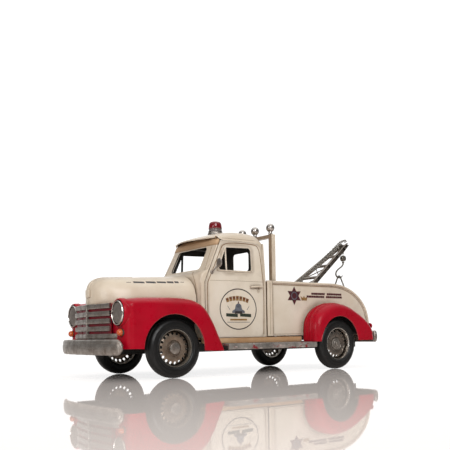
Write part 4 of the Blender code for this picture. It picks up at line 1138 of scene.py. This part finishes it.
def make_sign(side, word):
    """Generic round door badge: a ring, an arched band, a plain silhouette and bars."""
    cx, cz = 145.4, 76.7
    loops = []
    for lift in (0.03, 0.12):
        for scale in (0.0, 1.15):
            loops.append([(cx + (27.6 - scale) * u, side * (BODY_HALF + lift), cz + (24.6 - scale) * v)
                          for u, v in circle(1.0, 96)])
    loops = [loops[0], loops[1], loops[3], loops[2]]
    ring = rings("ring", loops, INK, closed=True)
    parts = [ring]
    hub = (cx + 2.0, cz - 32.0)
    for k in range(7):
        start = 112.3 - k * 6.35
        parts.append(band(hub, 45.0, 5.6 - 0.6 * abs(k - 3) / 3, start, start - 5.2, side, GOLD))
        parts.append(band(hub, 45.8, 2.4, start - 0.5, start - 4.7, side, RUST, lift=0.14))
    half = [(9.6, -4.6), (9.2, -2.2), (5.4, -0.2), (4.0, 5.0), (1.6, 6.6)]
    silhouette = [(-u, v) for u, v in half] + half[::-1]
    shapes = [(silhouette, SLATE, 0.05), ([(-5.6, -5.4), (5.6, -5.4), (5.0, -2.4), (-5.0, -2.4)], INK, 0.14),
              ([(-1.0, 6.8), (1.0, 6.8), (0.3, 9.4), (-0.3, 9.4)], MAROON, 0.05),
              ([(-19.0, -9.6), (-2.2, -8.8), (-2.2, -5.0), (-19.0, -5.8)], GREEN, 0.05),
              ([(1.2, -9.6), (18.4, -8.8), (18.4, -5.0), (1.2, -5.8)], GREEN, 0.05),
              (box(-12.5, -13.6, 12.5, -11.6), GOLD, 0.05), (box(-17, -15.9, 17, -15.4), SLATE, 0.05),
              ([(12.5, -0.6), (13.1, -0.9), (16.4, 3.6), (16.0, 3.9)], SLATE, 0.05),
              ([(-12.5, -0.6), (-13.1, -0.9), (-16.4, 3.6), (-16.0, 3.9)], SLATE, 0.05)]
    for shape, ink, lift in shapes:
        parts.append(plate([(cx + u, cz + v) for u, v in shape], side, ink, lift=lift))
    place(merge("door_badge_" + word, parts), "body_ivory")


def make_cab_rear():
    section = superellipse(9.0, 49)
    low = span("cab_rear_wall")[0].z
    levels = (low, 60, 80, 100, BELT_Z, 112, 125, 140, 150, EAVES_Z)
    rows = [wrap(104.4, 101.0, cab_half(z) - 0.3, section, z) for z in levels]
    wall = sheet("rear_wall", rows, (150, 0, 90), IVORY, INNER_SHADE, 1.5)
    opening = block(-17, 127.5, 17, 151.5, 4)
    cut(wall, prism("opening", opening, "x", 95, 115, INNER_SHADE))
    engrave(wall, [[(101.0, y, 118.0) for y in (-44, -20, 0, 20, 44)]], 0.35)
    trim = [(100.9, y, z) for y, z in block(-17.8, 126.7, 17.8, 152.3, 5)]
    place(merge("rear_wall_skin", [wall, tube("trim", trim, 0.75, IVORY, 8, across=(1, 0, 0), closed=True)]),
          "body_ivory", "cab_rear_wall")


def make_roof():
    eaves = EAVES_Z + 0.3
    knots = [(100.7, 0, 37.0, 151.0, 156.5), (101.2, 0, 42.5, 150.0, 160.5), (102.4, 0, 45.4, 149.5, 163.6),
             (104.6, 0, 46.9, 149.5, 166.6), (108.5, 0, 47.2, 152.0, 169.4), (114, 0, 47.3, 157.0, 171.2),
             (120, 0, 47.35, eaves, 172.1), (136, 0, 47.35, eaves, 172.7), (152, 0, 47.35, eaves, 171.2),
             (166, 1.5, 47.2, eaves, 168.2), (172.5, 4.5, 46.4, 159.6, 166.4), (179, 9, 45.2, 162.0, 164.4),
             (186.5, 14, 43.6, 163.6, 161.6)]
    stations = []
    for i in range(len(knots) - 1):
        for k in range(5):
            t = k / 5
            stations.append([a + (b - a) * t for a, b in zip(knots[i], knots[i + 1])])
    stations.append(list(knots[-1]))
    for _ in range(3):
        inner = [[(a + 2 * b + c) / 4 for a, b, c in zip(*trio)]
                 for trio in zip(stations, stations[1:], stations[2:])]
        stations = [stations[0]] + inner + [stations[-1]]
    section = superellipse(3.6, 57)
    rows = []
    for x, back, half, edge, crown in stations:
        rows.append([(x - back * p.x ** 2, half * p.x, edge + (crown - edge) * p.y) for p in section])
    roof = sheet("roof", rows, (135, 0, 120), IVORY, INNER_SHADE, 1.3, smooth=50)
    # painted shade: the roof's underside beneath the visor takes the darkened ivory
    roof.data.materials.append(VISOR_SHADE)
    for polygon in roof.data.polygons:
        if polygon.material_index == 1 and station(polygon.center).x > 160.0:
            polygon.material_index = 2
    gutter = []
    for side in (1, -1):
        gutter.append(onto(roof, [(x, side * 80, 161.0) for x in (116, 124, 132, 140, 150, 158, 165)],
                           (0, -side, 0)))
    engrave(roof, gutter, 0.22)
    place(roof, "body_ivory", "cab_roof")


def make_beacon():
    base = span("beacon_base")
    x, z = (base[0].x + base[1].x) / 2, base[0].z
    foot = [(0, z), (9.8, z), (9.8, z + 0.9), (9.5, z + 1.6), (9.0, z + 1.9), (9.0, z + 2.9), (8.6, z + 3.2),
            (0, z + 3.2)]
    place(lathe("beacon_foot", foot, "z", (x, 0, 0), 64, PEWTER), "dull_steel", "beacon_base")
    low, high = span("beacon_dome")
    z = low.z
    shell = [(0, z), (8.9, z), (8.85, z + 0.8), (8.5, z + 1.0), (8.35, z + 3.2), (8.6, z + 3.5),
             (8.2, z + 7.5), (7.8, high.z - 3.1), (7.2, high.z - 1.9), (6.2, high.z - 1.0),
             (4.6, high.z - 0.35), (2.4, high.z - 0.06), (0, high.z)]
    place(lathe("beacon_lens", shell, "z", (x, 0, 0), 72, LENS_RED, 60), "red_lens", "beacon_dome")


def make_interior():
    bench = rounded([(112.2, 62, 2), (148, 60.6, 4), (150, 76, 5.5), (122, 78, 1.5), (115, 112, 3),
                     (107.4, 112, 2), (107.4, 62, 2)], 6)
    seat = prism("seat", bench, "y", -44, 44, SEAT, 1.4)
    pleats = []
    for y in range(-36, 37, 9):
        over = [(150.4, 66), (150.4, 70), (148.6, 75.0), (144, 77.0), (135, 77.9), (123.5, 78.6),
                (121.2, 81.5), (118.6, 95), (116.0, 108)]
        pleats.append([(px, y, pz) for px, pz in over])
    engrave(seat, pleats, 0.55, BLACK)
    place(seat, "dark_seat", "bench_seat")
    repaint("steering_wheel", BLACK)


def make_mirror():
    high = span("mirror_left")[1]
    y, z = high.y - 5.3, high.z - 5.3
    head = lathe("head", [(0, 180.95), (2.6, 180.85), (4.2, 180.5), (5.1, 180.1), (5.3, 179.6), (5.2, 179.1),
                          (4.7, 179.0), (4.5, 179.3), (0, 179.35)], "x", (0, y, z), 48, PEWTER)
    path = smooth_path([(183.0, 50.8, 119.0), (183.0, 52.6, 120.2), (182.0, 54.8, 122.6),
                        (180.6, 57.0, 125.6)], 5)
    arm = tube("arm", path, 0.8, PEWTER, 10)
    foot = lathe("foot", [(0, 50.4), (2.0, 50.4), (2.0, 50.9), (1.2, 51.5), (0, 51.5)], "y",
                 (183.0, 0, 119.2), 24, PEWTER)
    place(merge("side_mirror", [head, arm, foot]), "worn_pewter", "mirror_left")


# ------------------------------------------------------------------ rack and bed

def make_rack():
    repaint("light_rack", IVORY_RACK, 0.7)
    for name in ("light_outer_left", "light_inner_left", "light_inner_right", "light_outer_right"):
        low, high = span(name)
        x, y = (low.x + high.x) / 2, (low.y + high.y) / 2
        radius = (high.x - low.x) / 2
        middle = high.z - radius
        profile = [(0, low.z), (2.9, low.z), (3.0, low.z + 0.5), (2.5, low.z + 1.0),
                   (2.3, middle - radius * 0.86)]
        for k in range(3, 24):
            angle = math.pi * k / 24
            profile.append((radius * math.sin(angle), middle - radius * math.cos(angle)))
        profile.append((0, high.z))
        place(lathe("lamp_" + name, profile, "z", (x, y, 0), 48, CHROME, 50), "polished_chrome", name)


def make_bed():
    tail = smooth_path([(-17, RAIL_Z), (-33, 109.3), (-50, 103.6), (-66, 93.2), (-77, 80), (-82, 66),
                        (-83.0, 52)], 7)
    edge = [Vector((92.5, RAIL_Z)), Vector((60, RAIL_Z)),
            Vector((20, RAIL_Z))] + tail + [Vector((-83.0, BED_FOOT))]
    outline = [Vector((100.6, BED_FOOT)), Vector((100.6, RAIL_Z))] + edge[1:]
    for side, word in SIDES:
        wall = prism("wall", outline, "y", side * 48.3, side * BED_HALF, LIT_IVORY_BED)
        line = []
        for i, p in enumerate(edge[:-2]):
            ahead = (edge[i + 1] - edge[max(i - 1, 0)]).normalized()
            normal = Vector((ahead.y, -ahead.x))
            inward = p + (normal if normal.dot(Vector((20, 60)) - p) > 0 else -normal) * 3.6
            line.append((inward.x, side * BED_HALF, inward.y))
        engrave(wall, [line], 0.5)
        seam = [(90.9, side * BED_HALF, z) for z in (107.6, 90, 70, 46)]
        foot_line = [(x, side * BED_HALF, 46.0) for x in (90, 60, 44)]
        engrave(wall, [seam, foot_line], 0.3)
        route = [(p.x, side * BED_HALF, p.y - 0.5) for p in edge[:-1]]
        bead = tube("bead", route, 1.75, IVORY, 14, across=(0, 1, 0))
        outer = rounded([(92.4, side * 49.4, 0.3), (100.6, side * 49.4, 0.3), (100.6, side * 51.8, 0.9),
                         (92.4, side * 51.8, 0.9)], 4)
        post = prism("post", outer, "z", 44.0, RAIL_Z + 1.2, IVORY)
        engrave(post, [[(96.4, side * 51.8, z) for z in (46, 70, 90, 110)]], 0.3)
        place(merge("bed_wall_" + word, [wall, bead, post]), "body_ivory", "bed_side_" + word)
        make_bed_print(side, word)
    floor = prism("floor", box(-79.4, -47.9, 99.8, 47.9), "z", BED_TOP - 1.6, BED_TOP, IVORY)
    engrave(floor, [[(x, y, BED_TOP) for x in (-79, -30, 30, 80, 99)]
                    for y in (-36, -24, -12, 0, 12, 24, 36)], 0.5)
    place(floor, "body_ivory", "bed_floor")
    tail_board = prism("tail_board", box(-81.6, -47.9, -79.8, 47.9), "z", 43.8, 71.2, IVORY)
    field = block(-40, 48, 40, 66, 3, 5)
    engrave(tail_board, [[(-81.6, y, z) for y, z in field + field[:1]]], 0.4)
    cap = tube("cap", [(-80.7, y, 71.2) for y in (-47.8, -20, 20, 47.8)], 1.3, IVORY, 12)
    place(merge("bed_tail_board", [tail_board, cap]), "body_ivory", "bed_tail")


def make_bed_print(side, word):
    """Generic side print: a six-pointed badge, a small tab and two rows of bars."""
    cx, cz = 55.1, 94.8
    star = []
    for k in range(12):
        radius = 11.9 if k % 2 == 0 else 6.6
        angle = math.pi / 2 + math.pi * k / 6
        star.append((cx + 1.1 * radius * math.cos(angle), cz + radius * math.sin(angle)))
    parts = [plate(star, side, MAROON, BED_HALF)]
    parts.append(band((cx, cz), 4.6, 1.3, 0, 359.9, side, SLATE, BED_HALF, 0.13))
    tab = [(33.4, 89.0), (42.6, 89.0), (44.0, 94.6), (40.4, 92.2), (38.2, 95.0), (36.0, 92.2), (32.2, 94.6)]
    parts.append(plate(tab, side, GOLD, BED_HALF))
    picker = random.Random(7)
    for z, start, end in ((98.2, 25.0, -31.0), (94.4, 33.5, -31.5)):
        x = start
        while x > end + 2:
            length = min(picker.uniform(2.6, 4.4), x - end)
            if abs(x - 0.5) > 2.2:
                parts.append(plate(box(x - length, z - 1.35, x, z + 1.35), side, MAROON, BED_HALF))
            x -= length + 0.35
    place(merge("bed_print_" + word, parts), "body_ivory")


# ------------------------------------------------------------------ crane

def boom_point(along, above=0.0, y=0.0):
    """Station given along the boom from its foot pin, square above that line, and crosswise."""
    point = FOOT + ALONG * along + ABOVE * above
    return Vector((point.x, y, point.z))


def beam_y(along):
    """Crosswise place of a beam; the two lean in towards the tip."""
    foot_y, tip_y, length = 30.0, 5.0, 177.4
    return foot_y + (tip_y - foot_y) * along / length


def make_boom():
    parts = []
    channel = [(-2.0, -3.0), (2.0, -3.0), (2.0, -2.1), (-0.9, -2.1), (-0.9, 2.1), (2.0, 2.1), (2.0, 3.0),
               (-2.0, 3.0)]
    for side in (1, -1):
        loops = []
        for k in range(13):
            along = BOOM_TIP * k / 12
            y = side * beam_y(along)
            slim = 1.0 if k < 12 else 0.62
            loops.append([boom_point(along, b * slim, y + side * a) for a, b in channel])
        beam = rings("beam", loops, BOOM_METAL, smooth=30)
        parts.append(rim(beam, 0.22, 2))
        ear = [(FOOT.x + u, FOOT.z + v) for u, v in circle(5.0, 40)]
        eye = prism("eye", ear, "y", side * 27.7, side * 32.3, BOOM_METAL, 0.4)
        cut(eye, turned("bore", [(0, 20), (2.35, 20), (2.35, 40), (0, 40)], (FOOT.x, 0, FOOT.z), side, 32,
                        STEEL))
        parts.append(eye)
        for along in RUNGS:
            spot = boom_point(along, 0, side * (beam_y(along) - 1.2))
            parts.append(tube("rivet", [spot, spot + Vector((0, side * 3.6, 0))], 1.1, STEEL, 12,
                              across=(1, 0, 0)))
    section = block(-2.0, -1.3, 2.0, 1.3, 0.5, 4)
    for along in RUNGS:
        y = beam_y(along) - 0.9
        loops = [[boom_point(along + u, v, s * y) for u, v in section] for s in (-1, 1)]
        parts.append(rings("rung", loops, BOOM_METAL))
    for first, last in zip(RUNGS, RUNGS[1:3]):
        for side in (1, -1):
            a = boom_point(first + 1, -1.2, side * (beam_y(first) - 1.4))
            b = boom_point(last - 1, -1.2, -side * (beam_y(last) - 1.4))
            mid = (a + b) / 2 + ABOVE * (0.5 * side)
            parts.append(tube("brace", [a, mid, b], 0.7, BOOM_METAL, 8))
    y = beam_y((WHEEL - FOOT).length)
    parts.append(tube("pin", [WHEEL + Vector((0, -y - 2.6, 0)), WHEEL + Vector((0, y + 2.6, 0))], 1.3, STEEL,
                      16, across=(1, 0, 0)))
    place(merge("boom_frame", parts), "worn_pewter", "boom", body="boom_arm")


def chain(name, path, pitch, wire, half_width):
    """Real links set along a path, each turned a quarter from the last."""
    path = [Vector(p) for p in path]
    reach = [0.0]
    for a, b in zip(path, path[1:]):
        reach.append(reach[-1] + (b - a).length)
    count = int(reach[-1] / pitch)
    vertices = []
    faces = []
    long_half = pitch / 2 + wire * 1.2
    ring = []
    for k in range(16):
        angle = 2 * math.pi * k / 16
        flat = math.copysign(long_half - half_width, math.cos(angle)) if abs(math.cos(angle)) > 0.2 else 0.0
        ring.append(Vector((flat + (half_width - wire) * math.cos(angle),
                            (half_width - wire) * math.sin(angle))))
    for i in range(count):
        goal = pitch * (i + 0.5) + (reach[-1] - count * pitch) / 2
        j = max(k for k in range(len(path) - 1) if reach[k] <= goal)
        t = (goal - reach[j]) / (reach[j + 1] - reach[j])
        centre = path[j].lerp(path[j + 1], t)
        ahead = (path[j + 1] - path[j]).normalized()
        level = (Vector((0, 1, 0)) - ahead * ahead.y).normalized()
        up = ahead.cross(level)
        turn = math.radians(45 + 90 * (i % 2))
        across = level * math.cos(turn) + up * math.sin(turn)
        away = ahead.cross(across)
        start = len(vertices)
        for k, p in enumerate(ring):
            out = (ring[(k + 1) % 16] - ring[k - 1]).normalized()
            out = Vector((out.y, -out.x))
            for a, b in circle(wire, 6):
                spot = p + out * a
                vertices.append(centre + ahead * spot.x + across * spot.y + away * b)
        for k in range(16):
            for m in range(6):
                k2, m2 = (k + 1) % 16, (m + 1) % 6
                faces.append((start + k * 6 + m, start + k * 6 + m2, start + k2 * 6 + m2,
                              start + k2 * 6 + m))
    return solid(name, vertices, faces, STEEL, 60)


def make_rigging():
    route = [boom_point((DRUM - FOOT).length, 7.4), boom_point(70, 7.6), boom_point(115, 7.8),
             boom_point(145, 7.2)]
    start = math.atan2(ABOVE.z, ABOVE.x)
    offset = (HANG - WHEEL).length
    for k in range(12):
        angle = start + (math.pi - start) * k / 12
        reach = offset + 0.9 * (1 - k / 12)
        route.append(WHEEL + Vector((math.cos(angle), 0, math.sin(angle))) * reach)
    left = [boom_point(*spot) for spot in ((90, 5.6, 2.2), (108, 5.2, 3.4), (126, 5.9, 2.8), (142, 5.6, 3.6),
                                           (154, 6.7, 3.2), (164, 7.2, 2.4), (171.0, 6.4, 1.5),
                                           (174.6, 4.2, 1.1), (176.2, 1.2, 1.0))]
    right = [boom_point(*spot) for spot in ((100, 5.2, -3.4), (120, 5.8, -2.8), (140, 5.4, -3.6),
                                            (154, 6.5, -3.2), (166, 7.0, -2.4), (171, 6.0, -1.9),
                                            (174.4, 3.6, -1.8), (175.6, 0.8, -1.7))]
    strands = [chain("strand", smooth_path(route, 3), *LINK),
               chain("left_slack", smooth_path(left, 4), *LINK),
               chain("right_slack", smooth_path(right, 4), *LINK)]
    place(merge("hoist_chain", strands), "dull_steel", "boom_chain", body="boom_arm")
    block_low, block_high = span("hook_block")
    block_z = (block_low.z + block_high.z) / 2
    drop = [(HANG.x, 0, HANG.z - 0.4), (HANG.x, 0, (HANG.z + block_high.z) / 2),
            (HANG.x, 0, block_high.z - 0.3)]
    place(chain("hanging_chain", drop, 2.8, 0.5, 1.45), "dull_steel", "hook_chain", body="hoist_block")

    groove = [(0, -3.0), (2.6, -3.0), (3.6, -2.75), (4.2, -2.2), (4.35, -1.75), (3.2, -1.45), (3.2, -1.15),
              (4.4, -0.8), (4.4, 0.8), (3.2, 1.15), (3.2, 1.45), (4.35, 1.75), (4.2, 2.2), (3.6, 2.75),
              (2.6, 3.0), (0, 3.0)]
    sheave = lathe("sheave", groove, "y", (HANG.x, 0, block_z), 56, STEEL)
    strap = tube("strap", [(HANG.x, 0, block_high.z - 0.6), (HANG.x, 0, block_low.z + 0.6)], 1.0, STEEL, 12,
                 across=(0, 1, 0))
    axle = tube("axle", [(HANG.x, -3.25, block_z), (HANG.x, 3.25, block_z)], 0.9, PEWTER, 16,
                across=(1, 0, 0))
    place(merge("hoist_sheave", [sheave, strap, axle]), "dull_steel", "hook_block", body="hoist_block")

    bend = [(0, 0), (0.3, -3.6), (3.4, -7.2), (10.5, -11.6), (14.6, -15.6), (15.6, -19.2), (13.6, -22.4),
            (9.2, -23.9), (4.6, -22.8), (1.8, -20.4)]
    route = smooth_path([(SHANK.x + x, 0, SHANK.z + z) for x, z in bend], 6)
    count = len(route)
    radii = [1.1 if k < count - 9 else 1.1 - 0.07 * (k - count + 9) for k in range(count)]
    radii[0] = 0.9
    shank = tube("shank", route, radii, STEEL, 14, across=(0, 1, 0))
    collar = lathe("collar", [(0, -0.1), (1.7, -0.1), (1.9, -0.5), (1.9, -1.4), (1.6, -1.8), (0, -1.8)], "z",
                   (SHANK.x, 0, SHANK.z), 24, STEEL)
    place(merge("crane_hook", [shank, collar]), "dull_steel", "tow_hook", body="hook")

    top = BOWL.z + 2.55
    corners = rounded([(0, top + 3.7, 2.9), (10.8, top - 18.6, 2.4), (-10.8, top - 18.6, 2.4)], 8)
    place(tube("hook_link", [(BOWL.x, y, z) for y, z in corners], 1.05, STEEL, 12, across=(1, 0, 0),
               closed=True),
          "dull_steel", "tow_link", body="link")

    grooved = [(1.65, -2.3), (5.0, -2.3), (5.3, -2.05), (5.3, -1.7), (4.4, -1.3), (4.0, -0.6), (3.95, 0),
               (4.0, 0.6), (4.4, 1.3), (5.3, 1.7), (5.3, 2.05), (5.0, 2.3), (1.65, 2.3)]
    place(lathe("boom_pulley", grooved, "y", WHEEL, 56, STEEL), "dull_steel", "tip_pulley", body="pulley")


def make_winch():
    profile = [(0, -30.6), (1.3, -30.6), (1.65, -30.2), (1.65, -19.5), (8.6, -19.5), (9.0, -19.2),
               (9.0, -18.4), (8.7, -18.1), (5.0, -18.0), (5.0, 18.0), (8.7, 18.1), (9.0, 18.4), (9.0, 19.2),
               (8.6, 19.5), (1.65, 19.5), (1.65, 38.6), (1.3, 39.0), (0, 39.0)]
    drum = lathe("drum", profile, "y", DRUM, 56, STEEL)
    turns = 12
    coil = []
    for k in range(turns * 24):
        angle = 2 * math.pi * k / 24
        coil.append(DRUM + Vector((6.3 * math.sin(angle), -17.0 + 34.0 * k / (turns * 24),
                                   6.3 * math.cos(angle))))
    wound = chain("wound", coil, 2.5, 0.42, 1.15)
    knob_z = DRUM.z + 13.0
    arm = prism("arm", block(DRUM.x - 1.8, DRUM.z - 2.4, DRUM.x + 1.8, knob_z + 2.4, 1.7, 6), "y", 36.7,
                38.5, STEEL, 0.3)
    knob = lathe("knob", [(0, 38.3), (1.2, 38.3), (1.3, 38.9), (1.9, 39.3), (2.0, 41), (1.8, 43.4),
                          (1.5, 44.6), (0.9, 45.0), (0, 45.0)], "y", (DRUM.x, 0, knob_z), 32, BLACK)
    place(merge("winch_spool", [drum, wound, arm, knob]), "dull_steel", "winch_drum", body="winch")
    repaint("boom_base", BOOM_METAL, 0.3)


# ------------------------------------------------------------------ chassis

def make_chassis():
    for node in ("chassis_frame", "front_axle", "rear_axle"):
        repaint(node, BLACK, 0.3)
    repaint("floor_board", TAN, 0.4)
    for side, word in SIDES:
        low, high = span("running_board_" + word)
        high.x -= 3.0
        tread = [(low.x, 26), (high.x, 26), (high.x, 72.2), (high.x - 2, 74.0), (low.x + 7, 74.0),
                 (low.x + 2, 72), (low.x, 67)]
        step = prism("step", [(x, side * y) for x, y in tread], "z", 33.4, 35.6, STEP, 0.5)
        skirt_path = smooth_path([(high.x - 1.5, 72.4), (high.x - 4, 73.1), (120, 73.2), (low.x + 9, 73.2),
                                  (low.x + 3.4, 71.4), (low.x + 0.9, 66.5)], 6)
        section = rounded([(-1.0, -3.2, 0.9), (1.0, -3.2, 0.9), (1.1, 3.2, 0.9), (-1.0, 3.2, 0.9)], 4)
        skirt = sweep("skirt", [(p.x, side * p.y, 32.3) for p in skirt_path], section, STEP)
        ribs = [tube("rib", [(x, side * y, 35.65) for x in (low.x + 8, 80, 140, high.x - 6)], 0.5, PEWTER, 8,
                     across=(0, 1, 0)) for y in (56, 59.5, 63, 66.5, 70)]
        place(merge("side_step_" + word, [step, skirt] + ribs), "worn_pewter", "running_board_" + word)


# ------------------------------------------------------------------ studio

def make_studio():
    """White backdrop behind the truck, a soft ceiling, a dim room on the viewer's side, and a glossy
    floor that fades to white far away."""
    world = bpy.data.worlds.new("studio")
    bpy.context.scene.world = world
    world.use_nodes = True
    tree = world.node_tree
    back = tree.nodes["Background"]
    back.inputs["Color"].default_value = (1.0, 1.0, 1.0, 1)
    way = where(tree, "Generated")
    backdrop = remap(tree, vector_node(tree, "DOT_PRODUCT", way, VIEW), 0.55, 0.85)
    ceiling = remap(tree, split(tree, way)["Z"], 0.45, 0.85, 0.0, 0.8)
    mirrored = remap(tree, most(tree, backdrop, ceiling), 0.0, 1.0, ROOM_LIGHT, BACKDROP)
    path = add_node(tree, "LightPath").outputs
    strength = add_node(tree, "Mix", Factor=path["Is Glossy Ray"], A=BACKDROP, B=mirrored).outputs["Result"]
    soft = add_node(tree, "Mix", Factor=path["Is Diffuse Ray"], A=strength, B=FILL_LIGHT)
    tree.links.new(soft.outputs["Result"], back.inputs["Strength"])

    mesh = bpy.data.meshes.new("studio_floor")
    half = 30.0
    mesh.from_pydata([(x, y, 0) for x, y in box(-half, -half, half, half)], [], [(0, 1, 2, 3)])
    floor = bpy.data.objects.new("studio_floor", mesh)
    bpy.context.scene.collection.objects.link(floor)
    floor.location.z = -0.0002
    made, tree, surface = shader("studio_white", (0.86, 0.79, 0.745), 0.02)
    tree.links.new(remap(tree, noise(tree, 4.0), 0.3, 0.7, 0.015, 0.03), surface.inputs["Roughness"])
    away = remap(tree, vector_node(tree, "LENGTH", where(tree)), 0.95, 1.9)
    fade = times(tree, away, add_node(tree, "LightPath").outputs["Is Camera Ray"])
    cove = add_node(tree, "Emission", Strength=BACKDROP)
    joined = add_node(tree, "MixShader")
    tree.links.new(fade, joined.inputs[0])
    tree.links.new(surface.outputs[0], joined.inputs[1])
    tree.links.new(cove.outputs[0], joined.inputs[2])
    tree.links.new(joined.outputs[0], tree.nodes["Material Output"].inputs["Surface"])
    mesh.materials.append(made)

    def lamp(name, spot, aim, size, power):
        data = bpy.data.lights.new(name, "AREA")
        data.shape = "RECTANGLE"
        data.size, data.size_y = size
        data.energy = power
        item = bpy.data.objects.new(name, data)
        bpy.context.scene.collection.objects.link(item)
        item.location = spot
        item.rotation_mode = "QUATERNION"
        item.rotation_quaternion = (Vector(aim) - Vector(spot)).to_track_quat("-Z", "Y")

    lamp("key", (0.7, 1.5, 1.0), (0, 0, 0.08), (1.0, 1.0), 17.0)
    lamp("top", (-0.3, -0.1, 1.6), (0, 0, 0.1), (1.6, 1.2), 3.6)
    lamp("low_front", (1.6, 0.5, 0.5), (0.1, 0, 0.08), (0.6, 0.6), 5.0)


def make_camera():
    """Level view from the truck's front left at bumper height, with the horizon low in the frame."""
    data = bpy.data.cameras.new("view")
    data.sensor_width = 36.0
    data.lens = 51.3
    data.shift_y = 0.245
    data.clip_start = 0.01
    camera = bpy.data.objects.new("view", data)
    bpy.context.scene.collection.objects.link(camera)
    camera.location = at(609.8, 661.6, 45.7)
    ahead = VIEW.normalized()
    roll = 0.016
    right = ahead.cross(Vector((0, 0, 1)))
    up = Vector((0, 0, 1))
    tilted_right = right * math.cos(roll) - up * math.sin(roll)
    tilted_up = up * math.cos(roll) + right * math.sin(roll)
    camera.matrix_world = Matrix.Translation(camera.location) @ Matrix(
        (tilted_right, tilted_up, -ahead)).transposed().to_4x4()
    bpy.context.scene.camera = camera
    bpy.context.scene.view_settings.view_transform = "Standard"


make_camera()
make_studio()
make_chassis()
for end, x, track in (("front", WHEELBASE, FRONT_TRACK), ("rear", 0.0, REAR_TRACK)):
    for side, word in SIDES:
        make_wheel(end + "_" + word, x, track, side)
make_hood()
make_grille()
make_bumper("front_bar", [(323.5, 0), (322.8, 27), (321.0, 48), (318.0, 61), (314.4, 70), (311.6, 74.2)],
            35.0, 8.4, "front_bumper")
make_bumper("rear_bar", [(-88.5, 0), (-88.0, 42), (-86.5, 57), (-82.5, 64), (-77.0, 67)], 41.2, 8.0,
            "rear_bumper", 40, 12)
make_lamps()
make_fenders()
make_cowl()
make_cab_sides()
make_cab_rear()
make_roof()
make_beacon()
make_interior()
make_mirror()
make_rack()
make_bed()
make_boom()
make_rigging()
make_winch()
